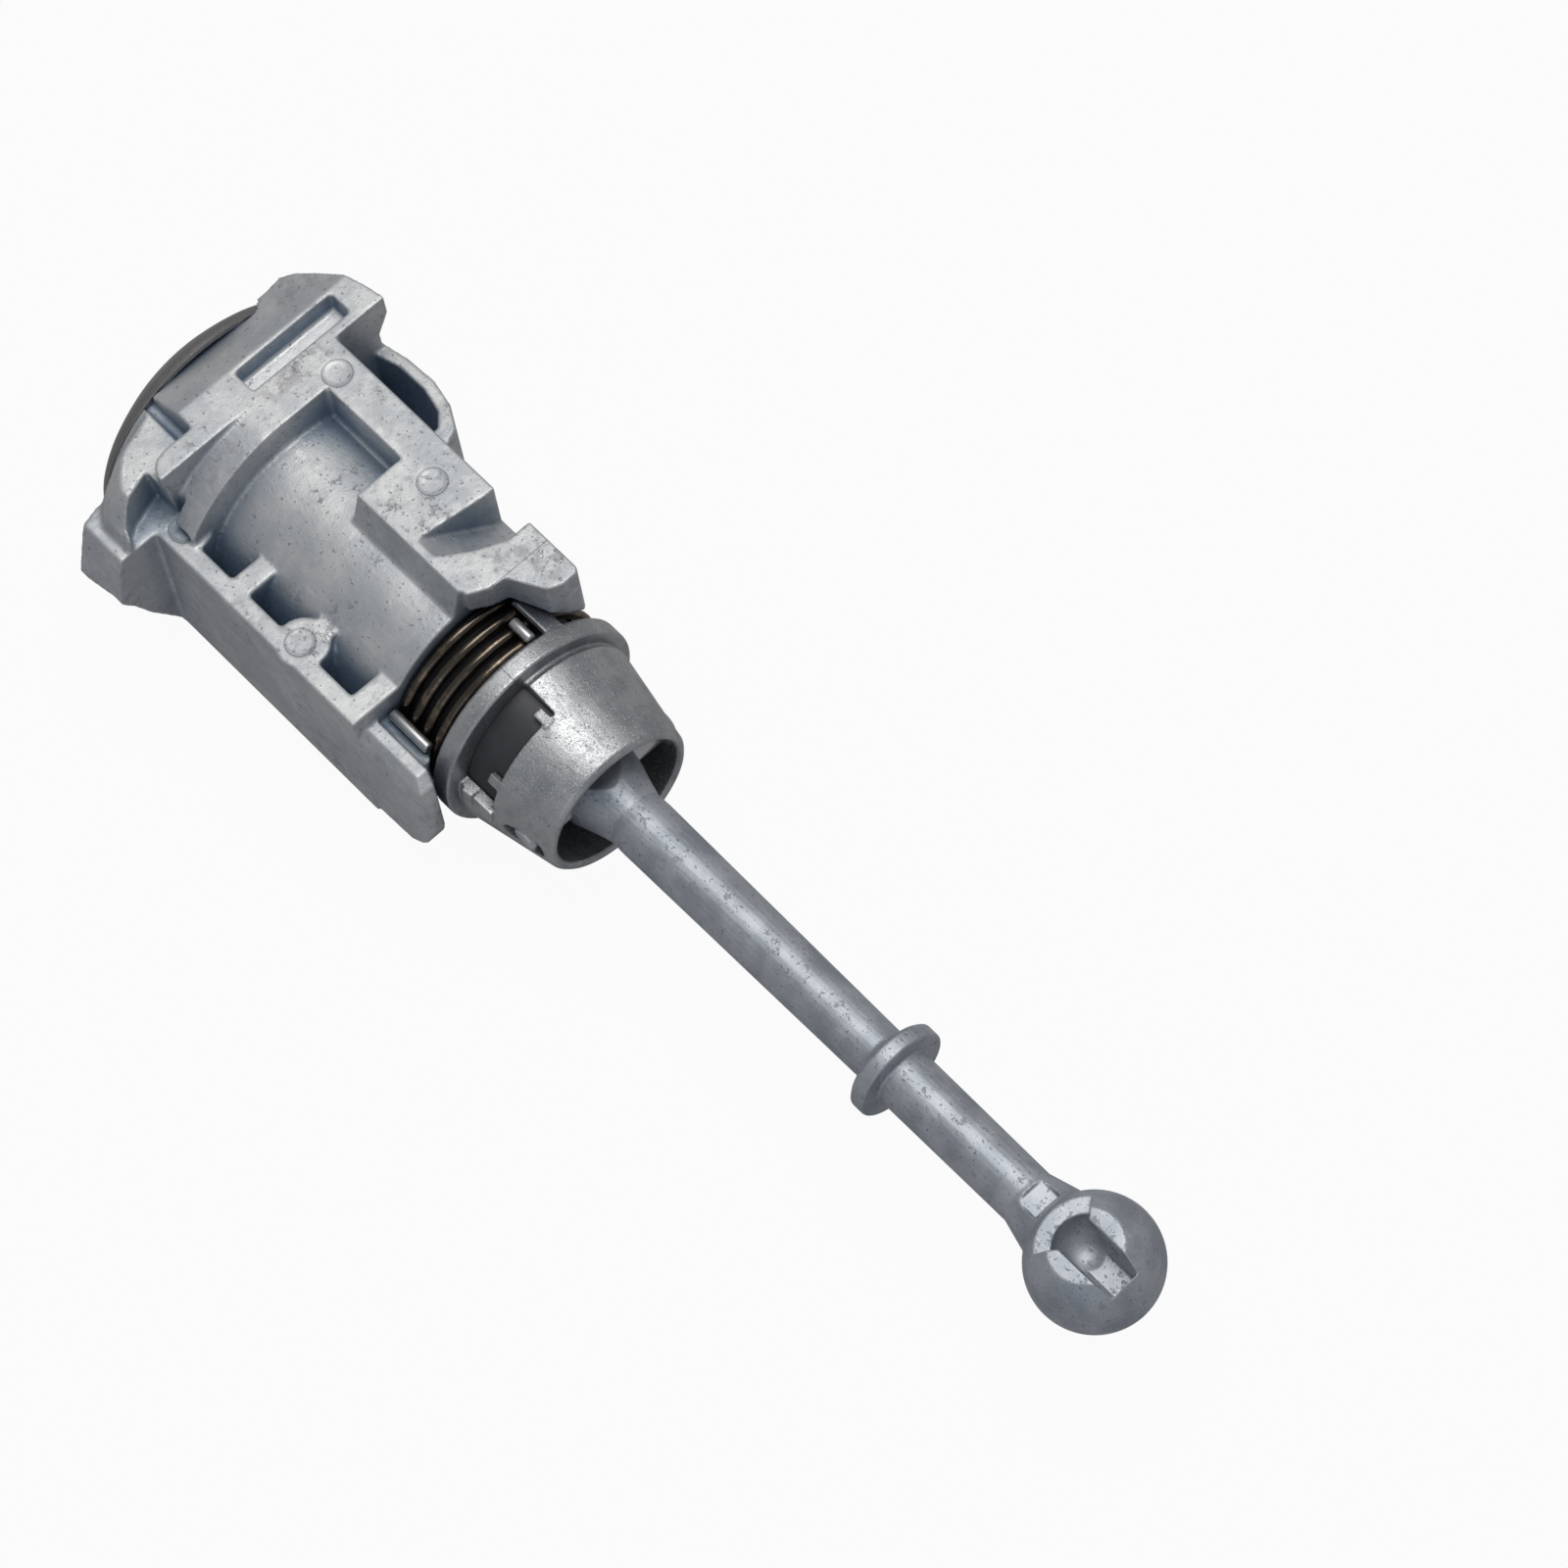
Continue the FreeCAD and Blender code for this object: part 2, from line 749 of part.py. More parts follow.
def make_face_cap():
    """A drawn cap over the head, with a round hole for the core's nose."""
    keep("face_cap", revolved(
        "face_cap_body",
        [
            ("cap_wall", "cap_hole_rad"),
            ("0.25", "cap_hole_rad"),
            ("0", "cap_hole_rad + 0.4"),
            ("0", "cap_face_rad - 0.3"),
            ("0.3", "cap_face_rad + 0.6"),
            ("1.9", "cap_face_rad + 3.9"),
            ("3.6", "cap_rad - 1.5"),
            ("4.4", "cap_rad - 0.5"),
            ("head_front - 0.4", "cap_rad"),
            ("head_front", "cap_rad"),
            ("head_front", "cap_rad - cap_wall"),
            ("4.7", "cap_rad - cap_wall"),
            ("3.6 + cap_wall", "cap_rad - 1.5 - cap_wall * 0.7"),
            ("1.9 + cap_wall", "cap_face_rad + 3.9 - cap_wall * 0.7"),
            ("0.3 + cap_wall", "cap_face_rad + 0.6 - cap_wall * 0.3"),
        ],
    ))


def make_sleeve():
    """The core's sleeve, broached with one groove above and one below for the wafers."""
    tube = cut(
        "sleeve_tube",
        rod("sleeve_outside", "x", "bore_rad - running", "core_front + running", "sleeve_rear"),
        rod("sleeve_inside", "x", "bore_rad - running - sleeve_wall", "core_front - 1", "sleeve_rear + 1"),
    )
    groove = box(
        "sleeve_groove",
        ("wafer_first - wafer_thick", "wafer_first + wafer_pitch * %d + wafer_thick" % (WAFER_COUNT - 1)),
        ("- wafer_half - 0.1", "wafer_half + 0.1"),
        ("0", "bore_rad - running - sleeve_wall + wafer_rise + 0.15"),
    )
    return keep("core_sleeve", cut("core_sleeve_body", tube, groove))


PLUG_RAD = "( bore_rad - sleeve_wall - running * 2 )"


def wafer_stations():
    return ["( wafer_first + wafer_pitch * %d )" % index for index in range(WAFER_COUNT)]


def make_plug():
    """The plug: a nose for the key, slots for the wafers and a tail with two flats."""
    nose = rod("plug_nose", "x", "nose_rad", "nose_front", "core_front + 1")
    main = rod("plug_main", "x", PLUG_RAD, "core_front + running", "sleeve_rear")
    tail = rod("plug_tail", "x", "tail_rad", "sleeve_rear - 1", "clutch_front - clutch_travel - 0.2")
    tang = common("plug_tang", [
        rod("plug_tang_round", "x", "tail_rad", "sleeve_rear", "tail_rear"),
        box("plug_tang_flats", ("sleeve_rear", "tail_rear"), ("- tang_thick / 2", "tang_thick / 2"),
            ("- tail_rad", "tail_rad")),
    ])
    solid = fuse("plug_solid", [nose, main, tail, tang])
    cuts = [
        rod("plate_seat", "x", "plate_rad", "nose_front - 0.1", "nose_front + plate_thick"),
        box("shutter_pocket", ("nose_front", "shutter_pivot_in + shutter_height + 0.6"),
            ("- shutter_room / 2", "shutter_room / 2"),
            ("shutter_pivot_up - shutter_height - 0.5", "shutter_pivot_up + 1.2")),
        rod("shutter_pin_hole", "y", "shutter_pin_rad", "- shutter_room / 2 - 1.7", "shutter_room / 2 + 1.7",
            ("shutter_pivot_in", "shutter_pivot_up")),
        box("keyway", ("shutter_pivot_in", "sleeve_rear - 1.4"), ("- keyway_width / 2", "keyway_width / 2"),
            ("keyway_foot", "keyway_top")),
        cut("clip_groove", rod("clip_groove_outside", "x", "tail_rad + 1", "sleeve_rear + 0.1",
                               "sleeve_rear + 0.2 + clip_thick"),
            rod("clip_groove_inside", "x", "tail_rad - 0.6", "sleeve_rear", "sleeve_rear + 2 + clip_thick")),
    ]
    for index, station in enumerate(wafer_stations()):
        cuts.append(box("wafer_slot_%d" % index,
                        (station + " - wafer_thick / 2 - 0.05", station + " + wafer_thick / 2 + 0.05"),
                        ("- wafer_half - 0.05", "wafer_half + 0.05"), ("- 12", "12")))
        cuts.append(box("spring_pocket_%d" % index,
                        (station + " - wafer_spring_rad - 0.2", station + " + wafer_spring_rad + 0.2"),
                        ("wafer_half - 0.1", "wafer_half + wafer_ear"), ("wafer_spring_base", "1.8")))
    return keep("plug", cut("plug_body", solid, fuse("plug_cuts", cuts)))


def make_keyhole():
    """The keyhole plate in the nose, and the sprung shutter behind it."""
    plate = rod("plate_round", "x", "plate_rad", "nose_front", "nose_front + plate_thick")
    slot = box("plate_slot", ("nose_front - 1", "nose_front + plate_thick + 1"),
               ("- keyway_width / 2 + 0.2", "keyway_width / 2 - 0.2"),
               ("keyway_foot + 0.2", "- keyway_foot - 0.2"))
    keep("keyhole_plate", cut("keyhole_plate_body", plate, slot))
    at = ("shutter_pivot_in", "shutter_pivot_up")
    knuckle = rod("shutter_knuckle", "y", "shutter_pin_rad + 0.45", "- shutter_width / 2", "shutter_width / 2 - 0.9",
                  at)
    flap = box("shutter_flap_plate", ("shutter_pivot_in - 0.95", "shutter_pivot_in - 0.95 + shutter_thick"),
               ("- shutter_width / 2", "shutter_width / 2"),
               ("shutter_pivot_up - shutter_height", "shutter_pivot_up - 1.15"))
    web = box("shutter_flap_web", ("shutter_pivot_in - 0.95", "shutter_pivot_in - 0.95 + shutter_thick"),
              ("- shutter_width / 2", "shutter_width / 2 - 0.9"), ("shutter_pivot_up - 1.5", "shutter_pivot_up"))
    hole = rod("shutter_knuckle_hole", "y", "shutter_pin_rad + running", "- shutter_width", "shutter_width", at)
    keep("shutter_flap", cut("shutter_flap_body", fuse("shutter_flap_solid", [knuckle, flap, web]), hole))
    keep("shutter_pin", rod("shutter_pin_body", "y", "shutter_pin_rad", "- shutter_room / 2 - 1.6",
                            "shutter_room / 2 + 1.6", at))
    keep("shutter_spring", coil("shutter_spring_body", "shutter_pin_rad + 0.22", "0.11", "0.25", "0.6",
                                ("shutter_pivot_in", "shutter_width / 2 - 0.75", "shutter_pivot_up"), "y", 6))


KEY_STEPS = (0.6, 0.0, 0.9, 0.3, 0.7, 0.2)


def make_wafers():
    """Sprung wafers that stand proud of the plug while no key is in it."""
    for index, station in enumerate(wafer_stations()):
        name = "wafer_%d" % (index + 1)
        xs = (station + " - wafer_thick / 2", station + " + wafer_thick / 2")
        plate = box(name + "_plate", xs, ("- wafer_half", "wafer_half"), ("- wafer_foot", "bore_rad"))
        crown = rod(name + "_crown", "x", PLUG_RAD + " + wafer_rise", xs[0], xs[1])
        ear = box(name + "_ear", xs, ("wafer_half - 0.5", "wafer_half + wafer_ear - 0.2"),
                  ("wafer_ear_foot", "wafer_ear_foot + 1.2"))
        window = box(name + "_window", (xs[0] + " - 1", xs[1] + " + 1"), ("- wafer_window", "wafer_window"),
                     ("keyway_foot - 1 + %s" % KEY_STEPS[index], "keyway_top + %s" % KEY_STEPS[index]))
        keep(name, cut(name + "_body", fuse(name + "_solid", [common(name + "_round", [plate, crown]), ear]), window))
        keep("wafer_spring_%d" % (index + 1), coil(
            "wafer_coil_%d" % index,
            "wafer_spring_rad - wafer_spring_wire",
            "wafer_spring_wire",
            "1.35",
            "wafer_ear_foot - wafer_spring_base - ( wafer_spring_wire + 0.02 ) * 2",
            (station, "wafer_half + wafer_ear / 2", "wafer_spring_base + wafer_spring_wire + 0.02"),
            "z",
            6,
        ))


def make_rings():
    """The two rings that hold the core: a clip on the plug and a snap ring in the housing."""
    clip = cut(
        "plug_clip_ring",
        rod("plug_clip_outside", "x", "clip_rad", "sleeve_rear + 0.15", "sleeve_rear + 0.15 + clip_thick"),
        rod("plug_clip_inside", "x", "tail_rad - 0.55", "sleeve_rear", "sleeve_rear + 1 + clip_thick"),
    )
    gap = box("plug_clip_gap", ("sleeve_rear", "sleeve_rear + 1 + clip_thick"), ("- 2.2", "2.2"), ("0", "clip_rad + 1"))
    keep("plug_clip", cut("plug_clip_body", clip, gap))
    ring = cut(
        "snap_ring_ring",
        rod("snap_ring_outside", "x", "bore_rad + 0.35", "sleeve_rear + 0.1", "sleeve_rear + 0.1 + clip_thick"),
        rod("snap_ring_inside", "x", "bore_rad - 2", "sleeve_rear", "sleeve_rear + 1 + clip_thick"),
    )
    split = box("snap_ring_split", ("sleeve_rear", "sleeve_rear + 1 + clip_thick"), ("- 1.5", "1.5"),
                ("- bore_rad - 1", "0"))
    keep("snap_ring", cut("snap_ring_body", ring, split))


def make_clutch():
    """The clutch that slides on the plug's tang, and the spring that pushes it into the cup."""
    hub_rad = "tail_rad + 1.1"
    disc = rod("clutch_disc", "x", "clutch_rad", "clutch_front", "clutch_front + clutch_thick")
    seat = cut(
        "clutch_seat",
        rod("clutch_seat_outside", "x", "clutch_spring_rad + 0.9", "clutch_front - 1", "clutch_front + 2.5"),
        rod("clutch_seat_inside", "x", hub_rad, "clutch_front - 2", "clutch_front + 3"),
    )
    slot = box("clutch_slot", ("clutch_front - 1", "clutch_front + clutch_thick - 0.5"),
               ("- tang_thick / 2 - running", "tang_thick / 2 + running"), ("- tail_rad - 0.1", "tail_rad + 0.1"))
    dog = box("clutch_dog_blade", ("clutch_front + clutch_thick - 0.5", "web_front + web_thick - 0.2"),
              ("- tang_thick / 2", "tang_thick / 2"), ("- clutch_dog / 2", "clutch_dog / 2"))
    body = fuse("clutch_solid", [cut("clutch_cut", disc, fuse("clutch_cuts", [seat, slot])), dog])
    keep("clutch", body)
    start = "sleeve_rear + 0.2 + clip_thick + clutch_wire / 2"
    end = "clutch_front + 2.45 - clutch_wire / 2"
    keep("clutch_spring", coil("clutch_coil", "clutch_spring_rad", "clutch_wire / 2", "1.35",
                               "%s - ( %s )" % (end, start), (start, "0", "0"), "x", 8))


def make_return_spring():
    """A torsion spring behind the barrel, with one leg on the housing's lug and one on the ring's."""
    start = "body_rear + return_wire / 2 + 0.1"
    height = "return_pitch * ( 3 + ( return_rest_angle - return_leg_angle ) / 360 )"
    turns = coil("return_coil", "return_rad", "return_wire / 2", "return_pitch", height, (start, "0", "0"), "x", 8)
    turns = turned(turns, "return_rest_angle - 180")
    leg = rod("return_leg", "x", "return_wire / 2", "%s + %s - 0.4" % (start, height), "ring_front - 0.4",
              ("0", "return_rad"))
    stub = rod("rest_stub", "z", "return_wire / 2", "return_rad - 0.3", "ring_rad - 0.2", (start, "0"))
    rest = rod("rest_leg", "x", "return_wire / 2", start, "ring_front - 1.2", ("0", "ring_rad - 0.2"))
    legs = [turned(leg, "return_leg_angle"), turned(stub, "return_rest_angle - 2"), turned(rest, "return_rest_angle - 2")]
    keep("return_spring", fuse("return_spring_body", [turns] + legs))


def make_guide():
    """The dark sleeve inside the ring: it guides the spring and takes the clutch's dog."""
    tube = rod("guide_outside", "x", "guide_rad", "body_rear - 0.5", "guide_rear")
    front_room = rod("guide_front_room", "x", "guide_rad - guide_wall", "sleeve_rear", "web_front")
    rear_room = rod("guide_rear_room", "x", "guide_rad - guide_wall", "web_front + web_thick", "guide_rear + 1")
    slot = box("guide_slot", ("web_front - 1", "web_front + web_thick + 1"),
               ("- tang_thick / 2 - 0.08", "tang_thick / 2 + 0.08"),
               ("- clutch_dog / 2 - 0.1", "clutch_dog / 2 + 0.1"))
    flange = rod("guide_flange", "x", "bore_rad - running", "sleeve_rear + 0.3 + clip_thick", "body_rear - 0.05")
    solid = fuse("guide_solid", [tube, flange])
    keep("guide_sleeve", cut("guide_sleeve_body", solid, fuse("guide_rooms", [front_room, rear_room, slot])))


def make_cup():
    """The coupling cup: ring, groove, tapered wall with its window, and pin slots."""
    wall = revolved(
        "cup_wall_body",
        [
            ("ring_front", "guide_rad + running"),
            ("ring_front", "ring_rad - 0.3"),
            ("ring_front + 0.3", "ring_rad"),
            ("ring_front + ring_width - 0.2", "ring_rad"),
            ("ring_front + ring_width", "ring_rad - 0.2"),
            ("ring_front + ring_width", "cone_big_rad - 0.5"),
            ("ring_front + ring_width + 0.6", "cone_big_rad - 0.5"),
            ("ring_front + ring_width + 0.9", "cone_big_rad"),
            ("cup_mouth - 0.5", "cone_small_rad + 0.05"),
            ("cup_mouth", "cone_small_rad - 0.4"),
            ("cup_mouth", "cone_small_rad - cup_wall + 0.3"),
            ("cup_mouth - 0.4", "cone_small_rad - cup_wall"),
            ("guide_rear + 0.1", "guide_rad - 0.9"),
            ("guide_rear + 0.1", "guide_rad + running"),
        ],
    )
    lug = padded(
        "ring_lug",
        "XZ_Plane",
        [
            ("lug_front", "return_rad + 0.8"),
            ("ring_front + 0.5", "return_rad + 0.8"),
            ("ring_front + 0.5", "ring_rad - 0.05"),
            ("lug_front + 0.6", "ring_rad - 0.05"),
            ("lug_front", "ring_rad - 0.4"),
        ],
        "- lug_width / 2",
        "lug_width / 2",
    )
    lug = turned(lug, "ring_lug_angle")
    solid = fuse("cup_solid", [wall, lug])
    window = common("cup_window", [
        rod("cup_window_band", "x", "ring_rad + 2", "window_front", "window_rear"),
        box("cup_window_quadrant", ("window_front - 1", "window_rear + 1"), ("- 20", "- 0.6"), ("2.4", "20")),
    ])
    slot = fuse("pin_slots", [
        box("pin_slot_flat", ("pin_mid - pin_slot_reach", "pin_mid + pin_slot_reach"), ("- 15", "15"),
            ("- pin_rad - running", "pin_rad + running")),
        rod("pin_slot_front", "y", "pin_rad + running", "- 15", "15", ("pin_mid - pin_slot_reach", "0")),
        rod("pin_slot_rear", "y", "pin_rad + running", "- 15", "15", ("pin_mid + pin_slot_reach", "0")),
    ])
    opened = cut("cup_opened", solid, fuse("cup_cuts", [window, slot]))
    teeth = []
    for index, angle in enumerate(("tooth_one_angle", "tooth_two_angle")):
        tooth = box("window_tooth_%d" % index, ("window_rear - 1.6", "window_rear + 0.5"), ("- 0.6", "0.6"),
                    ("guide_rad + 0.2", "cone_big_rad - 0.75"))
        teeth.append(turned(tooth, angle))
    block = box("cup_block", ("window_rear - 2.5", "window_rear + 0.4"), ("- 0.85", "0.85"),
                ("guide_rad + 0.2", "cone_big_rad - 0.2"))
    teeth.append(turned(block, "cup_block_angle"))
    keep("coupling_cup", fuse("coupling_cup_body", [opened] + teeth))


def make_rod():
    """The tail rod: eye, tapered shank, collar and the slotted ball."""
    keep("cross_pin", rod("cross_pin_body", "y", "pin_rad", "- pin_length / 2", "pin_length / 2", ("pin_mid", "0")))
    shank = revolved(
        "rod_shank",
        [
            ("pin_mid", "0"),
            ("pin_mid", "rod_root_rad - 0.3"),
            ("pin_mid + 8", "rod_root_rad"),
            ("collar_mid - 2", "rod_neck_rad"),
            ("collar_mid - rod_collar_width / 2", "rod_neck_rad + 0.5"),
            ("collar_mid - rod_collar_width / 2", "rod_collar_rad - 0.6"),
            ("collar_mid - rod_collar_width / 2 + 0.5", "rod_collar_rad"),
            ("collar_mid + rod_collar_width / 2 - 0.2", "rod_collar_rad"),
            ("collar_mid + rod_collar_width / 2", "rod_collar_rad - 0.2"),
            ("collar_mid + rod_collar_width / 2", "rod_tail_rad"),
            ("ball_mid - ball_rad - 2.5", "rod_tail_rad - 0.1"),
            ("ball_mid - ball_rad + 1.2", "rod_tail_rad + 0.9"),
            ("ball_mid", "rod_tail_rad + 0.9"),
            ("ball_mid", "0"),
        ],
    )
    bulb = revolved(
        "rod_root_bulb",
        [
            ("pin_mid - root_rad", "0"),
            ("pin_mid - root_rad", "root_rad - 1.5"),
            ("pin_mid - root_rad + 1.2", "root_rad + 0.2"),
            ("pin_mid - 1", "root_rad + 1"),
            ("pin_mid + 1.2", "root_rad + 0.9"),
            ("pin_mid + 3.2", "root_rad + 0.2"),
            ("pin_mid + 5.2", "rod_root_rad + 0.2"),
            ("pin_mid + 6.4", "rod_root_rad - 0.1"),
            ("pin_mid + 6.4", "0"),
        ],
    )
    eye = common("rod_eye", [
        bulb,
        box("rod_eye_room", ("pin_mid - root_rad", "pin_mid + 7"), ("- root_width / 2", "root_width / 2"),
            ("- root_rad", "root_rad")),
    ])
    ball = doc.addObject("Part::Sphere", "rod_ball")
    bind(ball, "Radius", "ball_rad")
    place(ball, ("ball_mid", "0", "0"))
    ledge = padded(
        "ball_ledge_cut",
        "XY_Plane",
        [
            ("ball_mid", "0"),
            ("ball_mid - ball_rad * 1.5", "ball_rad * 1.8"),
            ("ball_mid - ball_rad * 2", "0"),
            ("ball_mid - ball_rad * 1.5", "- ball_rad * 1.8"),
        ],
        "ball_ledge",
        "ball_rad + 1",
    )
    land = box("ball_land_cut", ("ball_mid - ball_rad", "ball_mid + ball_rad"), ("- ball_rad", "ball_rad"),
               ("ball_land", "ball_rad + 1"))
    bowl = doc.addObject("Part::Sphere", "ball_bowl")
    bind(bowl, "Radius", "ball_bore_rad")
    place(bowl, ("ball_mid - 0.3", "0", "ball_ledge"))
    below = box("ball_bowl_room", ("ball_mid - ball_rad", "ball_mid + ball_rad"), ("- ball_rad", "ball_rad"),
                ("0", "ball_ledge + 0.2"))
    channel = box("ball_channel", ("ball_mid - 0.4", "ball_mid + ball_rad * 0.74"),
                  ("- ball_slot / 2", "ball_slot / 2"), ("ball_ledge * 0.35", "ball_rad + 1"))
    flare = padded(
        "ball_flare",
        "YZ_Plane",
        [
            ("- ball_slot / 2", "ball_ledge - 1.6"),
            ("ball_slot / 2", "ball_ledge - 1.6"),
            ("ball_slot / 2 + 1.3", "ball_rad + 1"),
            ("- ball_slot / 2 - 1.3", "ball_rad + 1"),
        ],
        "ball_mid - 2.2",
        "ball_mid + ball_rad * 0.74",
    )
    ball_cuts = turned(fuse("ball_cuts", [ledge, land, common("ball_bowl_cut", [bowl, below]),
                                           channel, flare]), "ball_turn")
    facet = box("rod_facet", ("ball_mid - 9.2", "ball_mid - 6.4"), ("- 1.9", "1.6"),
                ("rod_tail_rad - 0.3", "rod_tail_rad + 3"))
    hole = rod("rod_eye_hole", "y", "pin_rad + running", "- root_width", "root_width", ("pin_mid", "0"))
    solid = fuse("rod_solid", [shank, eye, ball])
    keep("tail_rod", cut("tail_rod_body", solid, fuse("rod_cuts", [ball_cuts, facet, hole])))


make_housing()
make_face_cap()
make_sleeve()
make_plug()
make_keyhole()
make_wafers()
make_rings()
make_clutch()
make_return_spring()
make_guide()
make_cup()
make_rod()
doc.recompute()

for item in doc.Objects:
    for state in item.State:
        if state in ("Invalid", "Error"):
            raise RuntimeError("%s is %s" % (item.Name, state))
os.makedirs("parts", exist_ok=True)
for item in MADE:
    shape = item.Shape
    if shape.isNull() or not shape.isValid():
        raise RuntimeError("%s has no valid shape" % item.Label)
for item in MADE:
    item.Shape.exportStep("parts/%s.step" % item.Label)
    print("%-18s %9.1f mm3  solids %d" % (item.Label, item.Shape.Volume, len(item.Shape.Solids)))
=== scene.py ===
# %% [markdown]
# # A car door lock cylinder
# The lock is a zinc die casting with a flanged head, a turning core, a sprung coupling cup and a
# long tail rod that ends in a slotted ball. Its solids come in as a fixed frame, in metres, with X
# along the barrel and Z out of the open side of the casting. This lesson gives each visible part
# softer edges and a finish of its own, then sets the light and the camera.

# %% Load the lock's solids
import json
import math

import bpy
from mathutils import Matrix, Vector

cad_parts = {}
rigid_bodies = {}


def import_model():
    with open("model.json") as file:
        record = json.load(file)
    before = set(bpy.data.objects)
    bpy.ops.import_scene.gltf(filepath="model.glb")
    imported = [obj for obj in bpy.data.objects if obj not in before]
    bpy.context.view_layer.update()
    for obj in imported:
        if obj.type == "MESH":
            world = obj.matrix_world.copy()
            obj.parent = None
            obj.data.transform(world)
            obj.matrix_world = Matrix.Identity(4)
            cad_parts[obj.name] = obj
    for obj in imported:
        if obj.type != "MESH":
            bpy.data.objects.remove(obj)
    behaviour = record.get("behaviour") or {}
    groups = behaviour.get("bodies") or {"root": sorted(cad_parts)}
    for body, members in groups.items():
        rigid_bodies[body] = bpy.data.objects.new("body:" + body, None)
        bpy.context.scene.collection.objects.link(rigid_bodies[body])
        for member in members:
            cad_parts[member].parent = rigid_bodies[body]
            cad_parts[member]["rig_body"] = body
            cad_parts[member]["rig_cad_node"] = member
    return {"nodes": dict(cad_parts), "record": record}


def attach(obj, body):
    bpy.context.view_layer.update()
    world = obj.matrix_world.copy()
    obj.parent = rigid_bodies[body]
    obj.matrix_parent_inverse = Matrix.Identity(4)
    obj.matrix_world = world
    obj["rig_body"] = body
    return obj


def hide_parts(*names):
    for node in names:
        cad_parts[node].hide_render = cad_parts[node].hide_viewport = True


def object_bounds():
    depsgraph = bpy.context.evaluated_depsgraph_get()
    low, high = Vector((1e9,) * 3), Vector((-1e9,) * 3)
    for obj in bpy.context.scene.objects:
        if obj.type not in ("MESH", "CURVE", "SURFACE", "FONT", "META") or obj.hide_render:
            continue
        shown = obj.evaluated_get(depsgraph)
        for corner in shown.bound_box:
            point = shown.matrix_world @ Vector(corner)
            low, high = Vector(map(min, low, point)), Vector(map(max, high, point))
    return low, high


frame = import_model()
solids = frame["nodes"]
cad_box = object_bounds()
MM = 0.001

# %% [markdown]
# ## Small helpers
# Every Blender operator acts on what is selected, so each step starts from a clean selection. A
# solid comes in as loose triangles. A copy of it is merged first, so that its faces share corners
# and its edges can be rounded or shaded smooth.


# %% Selecting one piece
def pick(piece):
    """Make this piece the only selected and active one."""
    if bpy.context.object and bpy.context.object.mode != "OBJECT":
        bpy.ops.object.mode_set(mode="OBJECT")
    bpy.ops.object.select_all(action="DESELECT")
    piece.hide_set(False)
    piece.select_set(True)
    bpy.context.view_layer.objects.active = piece


def apply(piece, kind, **settings):
    """Add a modifier with these settings and apply it."""
    pick(piece)
    modifier = piece.modifiers.new(kind.lower(), kind)
    for key, value in settings.items():
        setattr(modifier, key, value)
    bpy.ops.object.modifier_apply(modifier=modifier.name)


def smooth(piece, angle):
    """Shade a piece smooth, but for edges where faces turn by more than this many degrees."""
    pick(piece)
    bpy.ops.object.shade_smooth_by_angle(angle=math.radians(angle))


# %% A merged copy of one solid
SAME_SPOT = 0.002 * MM


def merged(node, name, body):
    """A copy of a solid with its loose triangles joined, ready to be refined."""
    pick(solids[node])
    bpy.ops.object.duplicate()
    piece = bpy.context.object
    piece.parent = None
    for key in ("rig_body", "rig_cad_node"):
        if key in piece:
            del piece[key]
    piece.name = name
    piece.data.name = name
    bpy.ops.object.mode_set(mode="EDIT")
    bpy.ops.mesh.select_all(action="SELECT")
    bpy.ops.mesh.remove_doubles(threshold=SAME_SPOT)
    bpy.ops.object.mode_set(mode="OBJECT")
    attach(piece, body)
    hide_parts(node)
    return piece


# %% [markdown]
# ## Shader sums
# A finish is easier to read as sums than as a web of nodes. This class wraps one socket of a
# material. Adding or multiplying it adds the Math node, and one method adds any other node.


# %% One socket that can be used in sums
class Flow:
    """One output of a node; sums on it add Math nodes to the same material."""

    def __init__(self, tree, socket=None):
        self.tree = tree
        self.socket = socket

    def node(self, kind, sockets, out=0, **settings):
        made = self.tree.nodes.new(kind)
        for key, value in settings.items():
            setattr(made, key, value)
        for key, value in sockets.items():
            if isinstance(value, Flow):
                self.tree.links.new(value.socket, made.inputs[key])
            else:
                made.inputs[key].default_value = value
        return Flow(self.tree, made.outputs[out]) if made.outputs else None

    def math(self, operation, *values):
        return self.node("ShaderNodeMath", dict(enumerate(values)), operation=operation)

    def __add__(self, other):
        return self.math("ADD", self, other)

    def __sub__(self, other):
        return self.math("SUBTRACT", self, other)

    def __rsub__(self, other):
        return self.math("SUBTRACT", other, self)

    def __mul__(self, other):
        return self.math("MULTIPLY", self, other)

    __radd__ = __add__


# %% The patterns every finish uses
def start(name):
    """A new material, its shader socket and the place on the piece in millimetres."""
    material = bpy.data.materials.new(name)
    material.use_nodes = True
    material.node_tree.nodes.clear()
    flow = Flow(material.node_tree)
    place = flow.node("ShaderNodeTexCoord", {}, out="Object")
    place = flow.node("ShaderNodeVectorMath", {0: place, "Scale": 1 / MM}, operation="SCALE")
    return material, flow, place


def cloud(place, size, detail=3.0, rough=0.55, stretch=None):
    """Soft noise whose patches are about this many millimetres wide."""
    if stretch:
        place = place.node("ShaderNodeMapping", {0: place, "Scale": stretch})
    sockets = {"Vector": place, "Scale": 1.0 / size, "Detail": detail, "Roughness": rough}
    return place.node("ShaderNodeTexNoise", sockets)


def band(value, low, high):
    """0 below low, 1 above high and a smooth rise between."""
    sockets = {0: value, 1: low, 2: high}
    return value.node("ShaderNodeMapRange", sockets, interpolation_type="SMOOTHSTEP")


def tint(factor, first, second):
    """The first colour where the factor is 0, the second where it is 1."""
    if not isinstance(first, Flow):
        first = (*first, 1.0)
    if not isinstance(second, Flow):
        second = (*second, 1.0)
    return factor.node("ShaderNodeMix", {0: factor, 6: first, 7: second}, out=2, data_type="RGBA")


